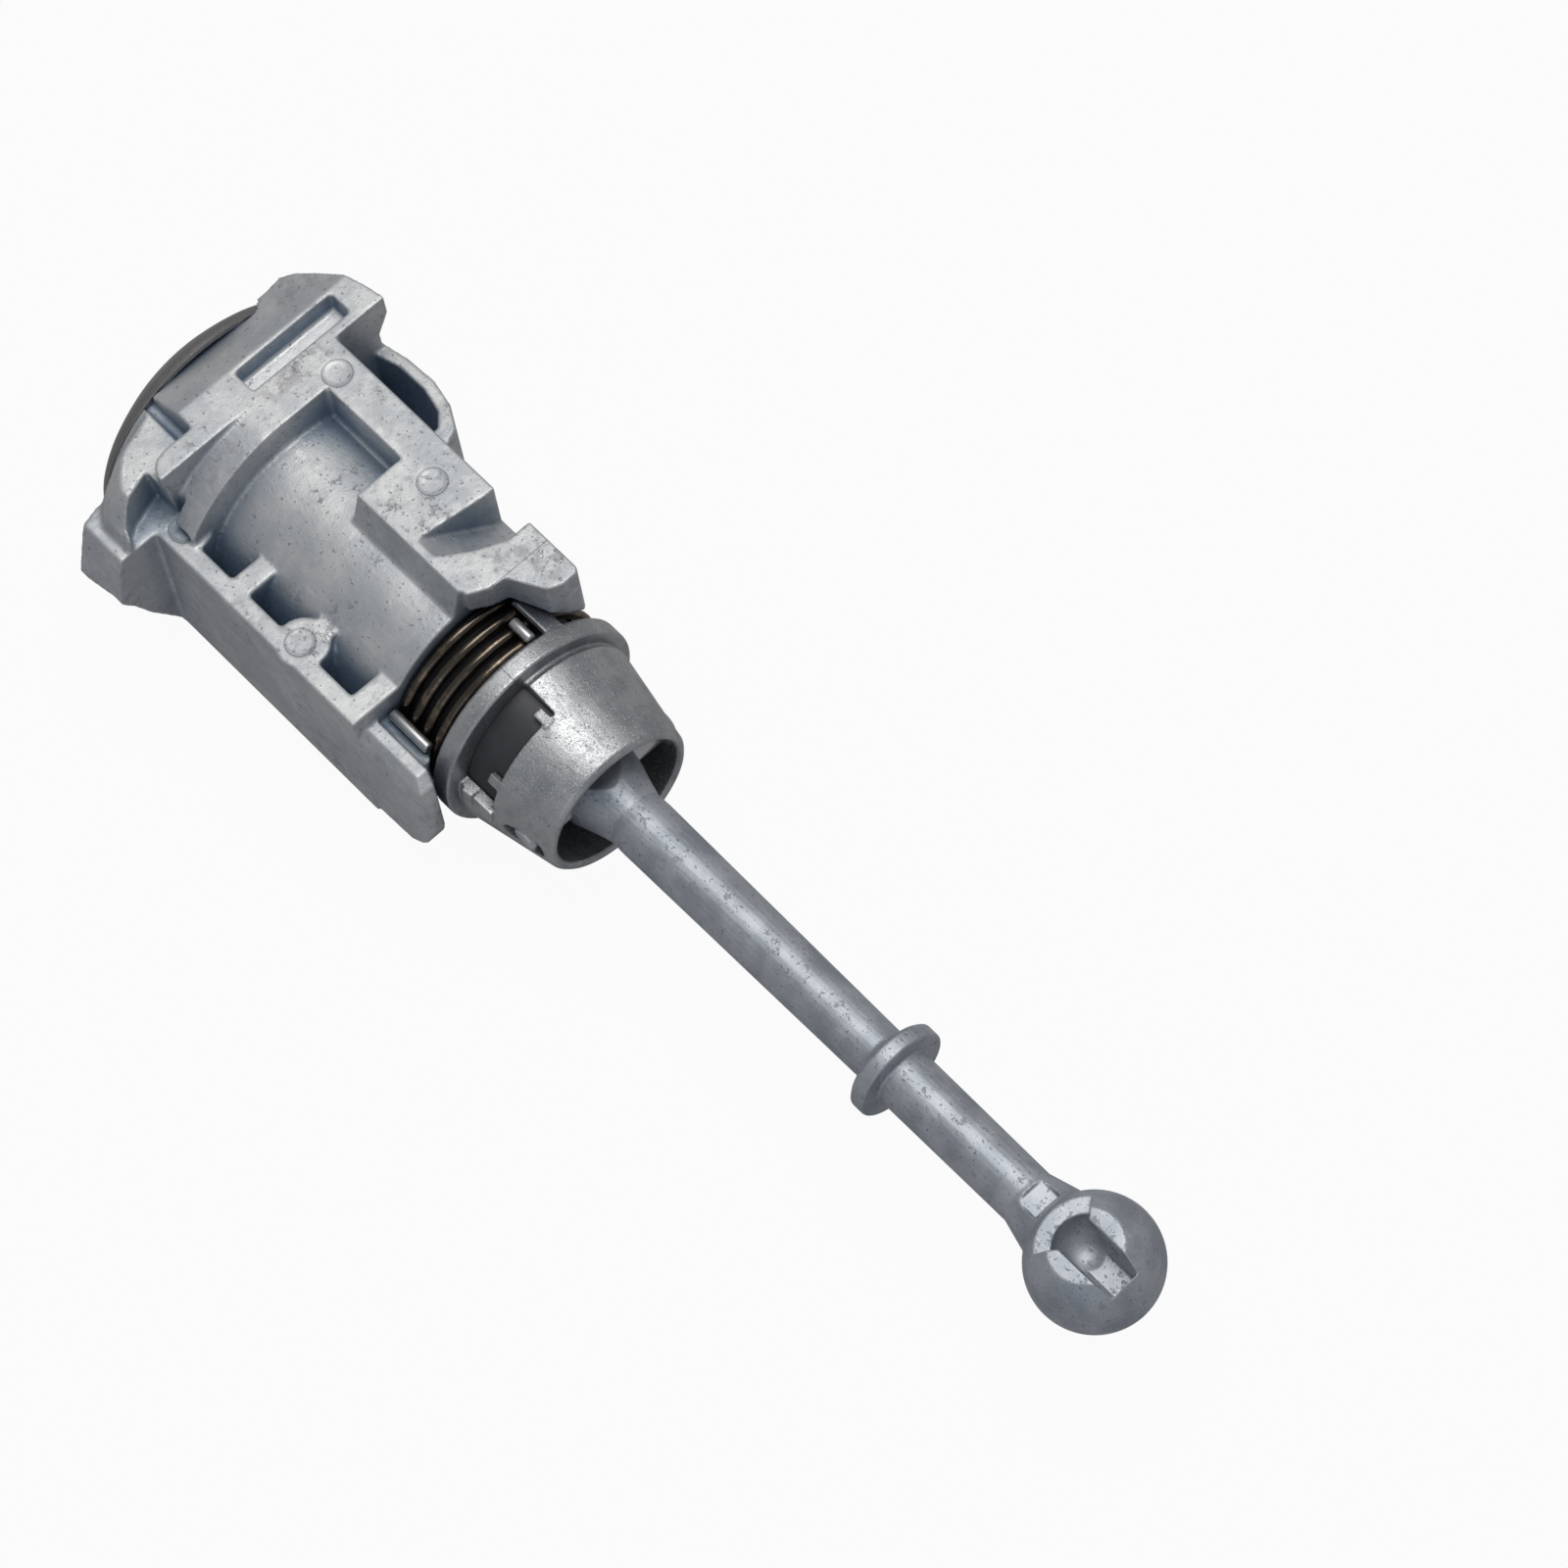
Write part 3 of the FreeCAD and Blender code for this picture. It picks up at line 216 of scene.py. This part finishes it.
def edges(place):
    """1 along outside edges, which handling rubs bright and a painted highlight lightens, and 0
    elsewhere.
    """
    sharp = place.node("ShaderNodeNewGeometry", {}, out="Pointiness")
    return band(sharp, 0.55, 0.66)


def recess_shade_mask(place, reach):
    """1 far into a recess and 0 in the open, for painting shade there; the reach is in millimetres.
    """
    sockets = {"Distance": reach * MM}
    open_share = place.node("ShaderNodeAmbientOcclusion", sockets, out="AO", samples=8)
    return 1 - band(open_share, 0.15, 0.85)


def along(place, axis, low, high, soft):
    """1 where the place on this axis lies between low and high, in millimetres."""
    value = place.node("ShaderNodeSeparateXYZ", {0: place}, out=axis)
    return band(value, low - soft, low + soft) * (1 - band(value, high - soft, high + soft))


def boxed(place, **spans):
    """1 inside a box; each axis has its low end, high end and softness in millimetres."""
    share = 1.0
    for axis, span in spans.items():
        share = along(place, axis, *span) * share
    return share


def ring_mark(place, centre, radius, width):
    """1 on a thin circle round an upright line through the centre."""
    flat = place.node("ShaderNodeVectorMath", {0: place, 1: (1.0, 1.0, 0.0)}, operation="MULTIPLY")
    spot = (centre[0], centre[1], 0.0)
    gap = flat.node("ShaderNodeVectorMath", {0: flat, 1: spot}, out="Value", operation="DISTANCE")
    off = gap.math("ABSOLUTE", gap - radius)
    return 1 - band(off, width * 0.4, width)


def finish(material, flow, colour, rough, height, depth, metal):
    """Join the patterns to one shader; the depth of the bump is in millimetres."""
    bump = flow.node("ShaderNodeBump", {"Height": height, "Distance": depth * MM, "Strength": 1.0})
    sockets = {"Base Color": colour, "Roughness": rough, "Metallic": metal, "Normal": bump}
    shader = flow.node("ShaderNodeBsdfPrincipled", sockets)
    flow.node("ShaderNodeOutputMaterial", {"Surface": shader})
    print("finish:", material.name)
    return material


# %% [markdown]
# ## Zinc casting
# The housing is cast in zinc and left as it comes from the die: a soft satin grey with a fine
# grain, cloudy patches where the metal flowed, small dark specks and pits, and edges rubbed bright
# and given a painted highlight. Noise at many sizes gives these, from clouds about 10 mm wide down
# to a grain of 0.2 mm. Rings round the ejector marks, a hairline on the rear deck, a dark smear and
# a painted pool of light on the slot's floor have places of their own, in millimetres. Recesses get
# painted shade, dark and bluish; the blue stands partly for the passivation film that gathers
# there.


# %% The casting's finish
EJECTOR_MARKS = [(18.6, 8.0, 17.0), (35.4, 6.6, 17.0), (16.9, -13.5, 8.5), (35.7, -13.5, 8.5)]
MARK_RADIUS = 1.62
MARK_WIDTH = 0.13
HAIRLINE = {"X": (48.95, 49.05, 0.05), "Z": (16.8, 17.2, 0.1)}
SMEAR = {"X": (14.4, 16.6, 0.6), "Y": (0.5, 10.0, 2.0), "Z": (16.6, 17.3, 0.1)}
PAINTED_LIGHT_ON_SLOT_FLOOR = {"X": (10.95, 13.95, 0.1), "Y": (0.4, 13.6, 0.1), "Z": (13.0, 14.6, 0.2)}


def zinc_casting():
    material, flow, place = start("zinc_casting_finish")
    drift = cloud(place, 7.0, 5.0, 0.6)
    patch = band(cloud(place, 2.0, 5.0, 0.65), 0.42, 0.62)
    grain = cloud(place, 0.2, 3.0, 0.65)
    peel = cloud(place, 0.8, 3.0)
    few = band(cloud(place, 8.0, 2.0), 0.52, 0.64)
    speck = band(cloud(place, 1.1, 5.0, 0.72), 0.57, 0.62) * few
    dot = band(cloud(place, 0.5, 1.0, 0.5), 0.68, 0.73)
    soot = band(cloud(place, 10.0, 2.0), 0.53, 0.64)
    soot = soot * band(cloud(place, 1.6, 5.0, 0.7), 0.48, 0.6)
    bare = band(cloud(place, 1.3, 5.0, 0.7, stretch=(1.0, 0.5, 1.0)), 0.55, 0.63)
    recess_shade = recess_shade_mask(place, 7.0)
    rubbed = edges(place)
    seam = boxed(place, **HAIRLINE)
    for mark in EJECTOR_MARKS:
        level = along(place, "Z", mark[2] - 0.3, mark[2] + 0.2, 0.05)
        seam = ring_mark(place, mark, MARK_RADIUS, MARK_WIDTH) * level + seam
    smear = boxed(place, **SMEAR) * band(cloud(place, 1.4, 5.0, 0.7), 0.42, 0.58)
    painted_slot_light = boxed(place, **PAINTED_LIGHT_ON_SLOT_FLOOR)
    colour = tint(band(drift, 0.38, 0.62), (0.48, 0.495, 0.51), (0.6, 0.605, 0.6))
    colour = tint(patch * 0.25, colour, (0.42, 0.44, 0.46))
    colour = tint(bare * 0.25, colour, (0.7, 0.7, 0.69))
    colour = tint(soot * 0.4, colour, (0.26, 0.255, 0.27))
    colour = tint(smear * 0.6, colour, (0.25, 0.235, 0.25))
    # Painted shade in the recesses, dark and bluish; the blue stands partly for the passivation
    # film there.
    colour = tint(recess_shade * 0.8, colour, (0.115, 0.2, 0.31))
    # Painted light: the slot's floor is lightened as if lit from above.
    colour = tint(painted_slot_light * 0.85, colour, (0.8, 0.8, 0.8))
    colour = tint(speck * 0.5, colour, (0.24, 0.245, 0.255))
    colour = tint(dot * 0.6, colour, (0.2, 0.205, 0.215))
    colour = tint(seam * 0.5, colour, (0.2, 0.21, 0.22))
    # Edges rubbed bright, with a painted highlight on top.
    colour = tint(rubbed * 0.45, colour, (0.74, 0.74, 0.73))
    rough = 0.38 + patch * 0.08 + grain * 0.16 + soot * 0.1 - rubbed * 0.08
    height = grain * 0.35 + peel * 0.6 + patch * 0.3 - speck * 0.7 - dot * 0.8 - seam * 0.6
    return finish(material, flow, colour, rough, height, 0.05, 0.5)


casting = zinc_casting()

# %% [markdown]
# ## Cap metal
# The cap over the head is drawn from thin sheet. It is darker and browner than the casting, with a
# fine grain and a few light scuffs.


# %% The cap's finish
def cap_metal():
    material, flow, place = start("cap_metal_finish")
    drift = cloud(place, 4.0, 4.0)
    scuff = band(cloud(place, 0.5, 4.0, 0.7, stretch=(3.0, 1.0, 0.5)), 0.56, 0.7)
    grain = cloud(place, 0.14, 2.0)
    colour = tint(drift, (0.17, 0.165, 0.16), (0.27, 0.262, 0.252))
    colour = tint(scuff * 0.45, colour, (0.42, 0.41, 0.4))
    rough = 0.36 + drift * 0.14 + scuff * 0.1
    return finish(material, flow, colour, rough, grain * 0.4 - scuff * 0.4, 0.02, 0.7)


cap = cap_metal()

# %% [markdown]
# ## Coupling cup and core
# The cup and the core are cast too, but tumbled: a more even grey with a sandy grain and pin-size
# pits. The ring in front of the cup has two fine joint lines. The core is a little lighter and
# shows faint turning lines.


# %% The cup's and the core's finishes
RING_FRONT = 54.3
RING_REAR = 57.0
RING_JOINTS = (59.0, 97.0)
JOINT_WIDTH = 0.07


def towards(place, direction):
    """How far the place lies in this direction from the origin, in millimetres."""
    sockets = {0: place, 1: direction}
    return place.node("ShaderNodeVectorMath", sockets, out="Value", operation="DOT_PRODUCT")


def spoke(place, degrees, width):
    """1 on a thin line outwards from the barrel's axis, at this angle from Y towards Z."""
    angle = math.radians(degrees)
    aside = towards(place, (0.0, -math.sin(angle), math.cos(angle)))
    outward = towards(place, (0.0, math.cos(angle), math.sin(angle)))
    line = 1 - band(aside.math("ABSOLUTE", aside), width * 0.5, width)
    return line * band(outward, 0.0, 1.0)


def cup_zinc():
    material, flow, place = start("cup_zinc_finish")
    drift = cloud(place, 3.5, 4.0)
    sand = cloud(place, 0.16, 3.0, 0.7)
    pit = band(cloud(place, 0.4, 1.0, 0.5), 0.68, 0.73)
    smear = band(cloud(place, 1.2, 5.0, 0.7), 0.52, 0.62)
    glint = band(cloud(place, 0.22, 2.0, 0.6), 0.56, 0.66)
    joints = 0.0
    for angle in RING_JOINTS:
        joints = spoke(place, angle, JOINT_WIDTH) + joints
    joints = joints * along(place, "X", RING_FRONT, RING_REAR, 0.05)
    colour = tint(band(drift, 0.4, 0.6), (0.35, 0.36, 0.37), (0.45, 0.455, 0.46))
    colour = tint(smear * 0.35, colour, (0.27, 0.28, 0.29))
    colour = tint(glint * 0.4, colour, (0.68, 0.68, 0.68))
    # Painted shade in the cup's recesses.
    colour = tint(recess_shade_mask(place, 4.0) * 0.5, colour, (0.14, 0.16, 0.19))
    colour = tint(pit * 0.5, colour, (0.2, 0.21, 0.22))
    colour = tint(joints * 0.6, colour, (0.16, 0.17, 0.18))
    # Edges rubbed bright, with a painted highlight on top.
    colour = tint(edges(place) * 0.5, colour, (0.6, 0.6, 0.6))
    rough = 0.27 + sand * 0.2 + smear * 0.08
    height = sand * 0.7 + glint * 0.4 - pit * 0.8 - joints * 0.8
    return finish(material, flow, colour, rough, height, 0.04, 0.85)


def core_zinc():
    material, flow, place = start("core_zinc_finish")
    drift = cloud(place, 3.0, 4.0)
    lines = cloud(place, 0.3, 2.0, stretch=(6.0, 0.4, 0.4))
    colour = tint(drift, (0.46, 0.465, 0.475), (0.6, 0.6, 0.605))
    rough = 0.34 + drift * 0.14 + lines * 0.08
    return finish(material, flow, colour, rough, lines * 0.7 + drift * 0.3, 0.02, 0.6)


cup = cup_zinc()
core = core_zinc()

# %% [markdown]
# ## Plated rod
# The rod is zinc with a bright bluish plating. The plating shows small stains, dull specks and
# fine scratches along the rod.


# %% The rod's finish
def rod_plating():
    material, flow, place = start("rod_plating_finish")
    drift = cloud(place, 4.0, 4.0)
    stain = band(cloud(place, 1.0, 5.0, 0.7), 0.57, 0.63)
    scratch = band(cloud(place, 0.3, 3.0, 0.6, stretch=(0.1, 1.0, 1.0)), 0.57, 0.68)
    ripple = cloud(place, 1.6, 2.0)
    dot = band(cloud(place, 0.4, 1.0, 0.5), 0.69, 0.73)
    colour = tint(band(drift, 0.38, 0.62), (0.34, 0.365, 0.4), (0.46, 0.48, 0.51))
    colour = tint(stain * 0.5, colour, (0.24, 0.26, 0.3))
    colour = tint(dot * 0.6, colour, (0.16, 0.17, 0.2))
    colour = tint(scratch * 0.3, colour, (0.66, 0.68, 0.7))
    rough = 0.45 + drift * 0.1 + stain * 0.15
    height = ripple * 0.4 - stain * 0.4 - dot * 0.8 + scratch * 0.15
    return finish(material, flow, colour, rough, height, 0.04, 0.7)


rod = rod_plating()

# %% [markdown]
# ## Steel, spring wire, black plastic and brass
# The pin, ring, clip and keyhole plate are bright rolled steel. The return spring is blued almost
# black, with bronze where the wire rubs. The guide inside the cup is black nylon with a fine
# moulded grain, and the wafers are brass.


# %% The small parts' finishes
def steel(name, dark, light, rough_low):
    material, flow, place = start(name)
    drift = cloud(place, 1.5, 4.0)
    rolled = cloud(place, 0.2, 3.0, stretch=(0.2, 1.0, 1.0))
    colour = tint(drift, dark, light)
    rough = rough_low + drift * 0.15 + rolled * 0.1
    return finish(material, flow, colour, rough, rolled + drift * 0.3, 0.01, 0.9)


def dark_spring():
    material, flow, place = start("dark_spring_finish")
    drift = cloud(place, 1.8, 4.0)
    rubbed = band(cloud(place, 1.6, 3.0, 0.6), 0.5, 0.62)
    grain = cloud(place, 0.2, 2.0)
    colour = tint(drift, (0.07, 0.06, 0.05), (0.11, 0.09, 0.07))
    colour = tint(rubbed * 0.45, colour, (0.28, 0.21, 0.15))
    rough = 0.15 + drift * 0.12
    return finish(material, flow, colour, rough, grain, 0.004, 0.95)


def black_plastic():
    material, flow, place = start("black_plastic_finish")
    drift = cloud(place, 2.5, 3.0)
    grain = cloud(place, 0.12, 2.0, 0.6)
    colour = tint(drift, (0.022, 0.023, 0.026), (0.045, 0.046, 0.05))
    rough = 0.38 + grain * 0.2
    return finish(material, flow, colour, rough, grain, 0.02, 0.0)


bright = steel("bright_steel_finish", (0.5, 0.5, 0.51), (0.68, 0.68, 0.69), 0.2)
wire = steel("spring_steel_finish", (0.38, 0.38, 0.39), (0.5, 0.5, 0.5), 0.25)
brass = steel("brass_finish", (0.5, 0.36, 0.14), (0.64, 0.48, 0.22), 0.25)
blued = dark_spring()
nylon = black_plastic()

# %% [markdown]
# ## Every solid gets its finish
# A solid whose shape is right stays as it is, and only its finish changes. The record says which
# slot each one has, and this table says which finish stands for that slot.

# %% Give the finishes out
finish_of = {
    "zinc_casting": casting,
    "cap_metal": cap,
    "core_zinc": core,
    "bright_steel": bright,
    "spring_steel": wire,
    "dark_spring": blued,
    "black_plastic": nylon,
    "cup_zinc": cup,
    "rod_plating": rod,
    "brass": brass,
}
slot_of = {part["node"]: part["material_slot"] for part in frame["record"]["subparts"]}
for name, solid in solids.items():
    for holder in solid.material_slots:
        holder.material = finish_of[slot_of[name]]
print("slots:", sorted(set(slot_of.values())))

# %% [markdown]
# ## The casting's soft edges
# A die casting has no knife edges: each corner is rounded by a few tenths of a millimetre. A bevel
# would need clean edge loops, which a solid with this many cuts doesn't have. So the merged copy is
# rebuilt on a fine voxel grid, relaxed a little, and thinned to a sensible number of faces.


# %% Rebuild the housing with rounded edges
def soften(piece, voxel, relax, share):
    """Rebuild a piece on a grid of this many millimetres, relax it and keep a share of faces."""
    apply(piece, "REMESH", mode="VOXEL", voxel_size=voxel * MM)
    before = len(piece.data.polygons)
    apply(piece, "SMOOTH", factor=0.5, iterations=relax)
    apply(piece, "DECIMATE", decimate_type="COLLAPSE", ratio=share)
    bpy.ops.object.shade_smooth()
    print(piece.name, before, "faces, then", len(piece.data.polygons))


soften(merged("lock_housing", "cast_housing", "housing"), 0.22, 2, 0.34)


# %% [markdown]
# ## Face cap
# The cap is drawn from one disc of thin sheet, so it is round and even all the way. It is made as
# on a lathe: one point is extruded along the section, and the section is spun round the barrel's
# axis. That gives a cleaner shine than the solid's own triangles do. Each point of the section has
# its place along the barrel and its radius, in millimetres.


# %% Spin the cap
HOLE_LIP = [(0.8, 6.7), (0.25, 6.7), (0.06, 6.84), (0.0, 7.1), (0.0, 7.7), (0.08, 8.15)]
FLARE = [(0.3, 8.64), (0.82, 9.72), (1.36, 10.83), (1.9, 11.92), (2.46, 12.88), (3.03, 13.83)]
RIM = [
    (3.6, 14.72), (4.0, 15.24), (4.4, 15.7), (4.8, 16.0), (5.2, 16.17), (5.45, 16.2), (5.6, 16.1),
]
INSIDE = [(5.6, 15.4), (4.7, 15.4), (4.4, 14.14), (2.7, 11.34), (1.1, 8.36)]
CAP_SECTION = HOLE_LIP + FLARE + RIM + INSIDE + HOLE_LIP[:1]
SPIN_STEPS = 144

first_x, first_radius = HOLE_LIP[0]
bpy.ops.object.select_all(action="DESELECT")
bpy.ops.mesh.primitive_plane_add(size=0.1 * MM, location=(first_x * MM, 0.0, first_radius * MM))
cap_piece = bpy.context.object
bpy.ops.object.transform_apply(location=True, rotation=True, scale=True)
bpy.ops.object.mode_set(mode="EDIT")
bpy.ops.mesh.select_all(action="SELECT")
bpy.ops.mesh.merge(type="CENTER")
for last, point in zip(CAP_SECTION, CAP_SECTION[1:]):
    step = ((point[0] - last[0]) * MM, 0.0, (point[1] - last[1]) * MM)
    bpy.ops.mesh.extrude_region_move(TRANSFORM_OT_translate={"value": step})
bpy.ops.mesh.select_all(action="SELECT")
bpy.ops.mesh.spin(
    steps=SPIN_STEPS, angle=2 * math.pi, center=(0.0, 0.0, 0.0), axis=(1.0, 0.0, 0.0)
)
bpy.ops.mesh.select_all(action="SELECT")
bpy.ops.mesh.remove_doubles(threshold=SAME_SPOT)
bpy.ops.mesh.normals_make_consistent(inside=False)
bpy.ops.object.mode_set(mode="OBJECT")
smooth(cap_piece, 35.0)
cap_piece.name = "drawn_cap"
cap_piece.data.name = "drawn_cap"
cap_piece.data.materials.append(cap)
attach(cap_piece, "housing")
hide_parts("face_cap")
print("cap:", len(cap_piece.data.polygons), "faces")

# %% [markdown]
# ## Cup, rod, guide and pin
# The cup and the rod are rebuilt on a grid as the housing is. The guide and the pin have few cuts,
# so a narrow bevel on their sharp edges is enough, and the round faces are smoothed between them.


# %% Narrow bevels
SHARP_EDGE = math.radians(32.0)


def ease(piece, width):
    """Round the sharp edges by this width in millimetres and smooth the rest."""
    apply(
        piece, "BEVEL", width=width * MM, segments=2, limit_method="ANGLE",
        angle_limit=SHARP_EDGE, use_clamp_overlap=False, harden_normals=False,
    )
    smooth(piece, 38.0)
    print(piece.name, len(piece.data.polygons), "faces")


ease(merged("guide_sleeve", "nylon_guide", "cup"), 0.12)
ease(merged("cross_pin", "round_pin", "pin"), 0.15)
soften(merged("coupling_cup", "cast_cup", "cup"), 0.14, 2, 0.4)
soften(merged("tail_rod", "plated_rod", "rod"), 0.14, 2, 0.35)

# %% [markdown]
# ## Springs
# The return spring fills the gap behind the barrel with a few turns of dark wire. One leg lies on
# the housing's lug at the left, and the other lies over the turns beside the ring's lug. A Screw
# modifier winds it: a small circle is carried round the barrel's axis and along it at the same
# time. The legs are bright where they rub, and the ring's one moves with the ring.


# %% Wind the return spring
COIL_RAD = 11.3
WIRE = 1.25
COIL_FRONT = 47.75
COIL_REAR = 53.65
COIL_ANGLE = math.radians(152.0)
COIL_TURNS = 3.217
COIL_STEPS = 200


def polar(x, radius, angle):
    """A place in metres, from millimetres along the barrel, a radius and an angle from Y to Z."""
    return (x * MM, radius * math.cos(angle) * MM, radius * math.sin(angle) * MM)


bpy.ops.object.select_all(action="DESELECT")
bpy.ops.mesh.primitive_circle_add(
    vertices=16, radius=WIRE / 2 * MM, location=polar(COIL_FRONT, COIL_RAD, COIL_ANGLE),
    rotation=(COIL_ANGLE, 0.0, 0.0),
)
bpy.ops.object.transform_apply(location=True, rotation=True, scale=True)
coil = bpy.context.object
apply(
    coil, "SCREW", axis="X", angle=-2 * math.pi * COIL_TURNS,
    screw_offset=(COIL_REAR - COIL_FRONT) * MM, iterations=1,
    steps=COIL_STEPS, render_steps=COIL_STEPS, use_smooth_shade=True,
)
bpy.ops.object.mode_set(mode="EDIT")
bpy.ops.mesh.select_all(action="SELECT")
bpy.ops.mesh.fill_holes(sides=0)
bpy.ops.mesh.normals_make_consistent(inside=False)
bpy.ops.object.mode_set(mode="OBJECT")
coil.data.materials.append(blued)
ends = (coil.bound_box[0][0], coil.bound_box[6][0])
print("coil:", len(coil.data.polygons), "faces, x", [round(end / MM, 2) for end in ends])

# %% Its two legs
REST_LEG_FRONT = COIL_FRONT - 0.4
REST_LEG_REAR = 53.2
REST_LEG_RAD = 12.6
REST_LEG_ANGLE = math.radians(154.0)
RING_LEG_FRONT = 51.3
RING_LEG_RAD = 12.58
RING_LEG_ANGLE = math.radians(76.5)


def round_bar(first, last, radius, angle):
    """A bar of the spring's wire along the barrel, with eased ends."""
    bpy.ops.object.select_all(action="DESELECT")
    bpy.ops.mesh.primitive_cylinder_add(
        vertices=20, radius=WIRE / 2 * MM, depth=(last - first) * MM,
        location=polar((first + last) / 2, radius, angle), rotation=(0.0, math.pi / 2, 0.0),
    )
    bpy.ops.object.transform_apply(location=True, rotation=True, scale=True)
    bar = bpy.context.object
    apply(bar, "BEVEL", width=0.2 * MM, segments=2, limit_method="ANGLE")
    smooth(bar, 50.0)
    return bar


rest_leg = round_bar(REST_LEG_FRONT, REST_LEG_REAR, REST_LEG_RAD, REST_LEG_ANGLE)
ring_leg = round_bar(RING_LEG_FRONT, RING_FRONT, RING_LEG_RAD, RING_LEG_ANGLE)
for leg in (rest_leg, ring_leg):
    leg.data.materials.append(wire)
for piece, name, body in ((coil, "dark_coil", "housing"), (rest_leg, "rest_leg", "housing"),
                          (ring_leg, "ring_leg", "cup")):
    piece.name = name
    piece.data.name = name
    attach(piece, body)
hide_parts("return_spring")
print("legs:", rest_leg.name, ring_leg.name)

# %% Smooth the clutch's spring
smooth(merged("clutch_spring", "clutch_coil", "core"), 40.0)

# %% [markdown]
# ## Stage
# The photograph shows the lock on plain white, lit softly from above. The floor is pale, and its
# own brightness for the camera makes the white background, so the lamps stay low enough to keep
# the metal's tones.


# %% The pale floor
FLOOR_RADIUS = 3.0
SEEN_GLOW = 0.95
MIRRORED_GLOW = 0.1


def floor_finish():
    material = bpy.data.materials.new("pale_floor")
    material.use_nodes = True
    material.node_tree.nodes.clear()
    flow = Flow(material.node_tree)
    paint = flow.node("ShaderNodeBsdfDiffuse", {"Color": (0.42, 0.42, 0.43, 1.0)})
    glow = flow.node("ShaderNodeEmission", {"Color": (1.0, 1.0, 1.0, 1.0), "Strength": 1.0})
    seen = flow.node("ShaderNodeLightPath", {}, out="Is Camera Ray")
    shine = flow.node("ShaderNodeLightPath", {}, out="Is Glossy Ray")
    share = seen * SEEN_GLOW + shine * MIRRORED_GLOW
    mixed = flow.node("ShaderNodeMixShader", {0: share, 1: paint, 2: glow})
    flow.node("ShaderNodeOutputMaterial", {"Surface": mixed})
    return material


bpy.ops.object.select_all(action="DESELECT")
bpy.ops.mesh.primitive_circle_add(
    vertices=96, radius=FLOOR_RADIUS, fill_type="NGON", location=(0.07, 0.0, cad_box[0][2])
)
floor = bpy.context.object
floor.name = "floor"
floor.data.materials.append(floor_finish())

# %% [markdown]
# ## Light
# One wide lamp overhead gives the soft top light. A weaker cool lamp from the left fills the
# recesses with the blue that the photograph shows there.


# %% Lamps and sky
def lamp(name, place, aim, size, power, tone):
    """A square soft lamp that points at one spot."""
    light = bpy.data.lights.new(name, "AREA")
    light.shape = "SQUARE"
    light.size = size
    light.energy = power
    light.color = tone
    holder = bpy.data.objects.new(name, light)
    bpy.context.scene.collection.objects.link(holder)
    holder.location = place
    holder.rotation_euler = (Vector(aim) - Vector(place)).to_track_quat("-Z", "Y").to_euler()


AIM = (0.06, 0.0, 0.0)
lamp("top_lamp", (0.0, 0.13, 0.92), AIM, 0.6, 5.3, (1.0, 0.99, 0.97))
lamp("cool_lamp", (0.5, -0.6, 0.35), AIM, 0.5, 0.5, (0.72, 0.84, 1.0))

world = bpy.data.worlds.new("studio")
bpy.context.scene.world = world
world.use_nodes = True
world.node_tree.nodes.clear()
sky = Flow(world.node_tree)
seen = sky.node("ShaderNodeLightPath", {}, out="Is Camera Ray")
shine = sky.node("ShaderNodeLightPath", {}, out="Is Glossy Ray")
colour = tint(shine, (0.16, 0.17, 0.19), (0.34, 0.35, 0.37))
colour = tint(seen, colour, (1.0, 1.0, 1.0))
back = sky.node("ShaderNodeBackground", {"Color": colour, "Strength": 1.0})
sky.node("ShaderNodeOutputWorld", {"Surface": back})
print("lamps:", len(bpy.data.lights))

# %% [markdown]
# ## Camera
# The picture was taken from the rear left, high above the lock and rolled a little. The three
# angles were fitted to the circles of the cup, collar and ball and to the casting's straight edges.
# The distance is a guess, and with it the focal length, in pixels, gives about 10 pixels to the
# millimetre. The ball's centre is set on its place in the picture.

# %% Set the camera
AZIMUTH = math.radians(57.0)
ELEVATION = math.radians(63.8)
ROLL = math.radians(-10.5)
DISTANCE = 0.7
FOCAL = 7140.0
PHOTO_SIZE = 1600.0
SENSOR = 36.0
BALL = Vector((0.141, 0.0, 0.0))
BALL_SPOT = (1117.0, 1288.0)

level = Vector((math.cos(AZIMUTH), math.sin(AZIMUTH), 0.0))
ahead = Vector((-math.sin(AZIMUTH), math.cos(AZIMUTH), 0.0))
down = Vector((0.0, 0.0, -1.0))
look = ahead * math.cos(ELEVATION) + down * math.sin(ELEVATION)
rise = level.cross(look)
right = level * math.cos(ROLL) + rise * math.sin(ROLL)
up = rise * math.cos(ROLL) - level * math.sin(ROLL)
across = (BALL_SPOT[0] - PHOTO_SIZE / 2) / FOCAL
above = (PHOTO_SIZE / 2 - BALL_SPOT[1]) / FOCAL
eye = BALL - DISTANCE * (look + across * right + above * up)

lens = bpy.data.cameras.new("photo_camera")
lens.sensor_width = SENSOR
lens.lens = FOCAL * SENSOR / PHOTO_SIZE
lens.clip_start = 0.01
camera = bpy.data.objects.new("photo_camera", lens)
bpy.context.scene.collection.objects.link(camera)
turn = Matrix((right, up, -look)).transposed()
camera.matrix_world = Matrix.Translation(eye) @ turn.to_4x4()
bpy.context.scene.camera = camera
bpy.context.scene.view_settings.view_transform = "Standard"
print("camera at", [round(value, 3) for value in eye])
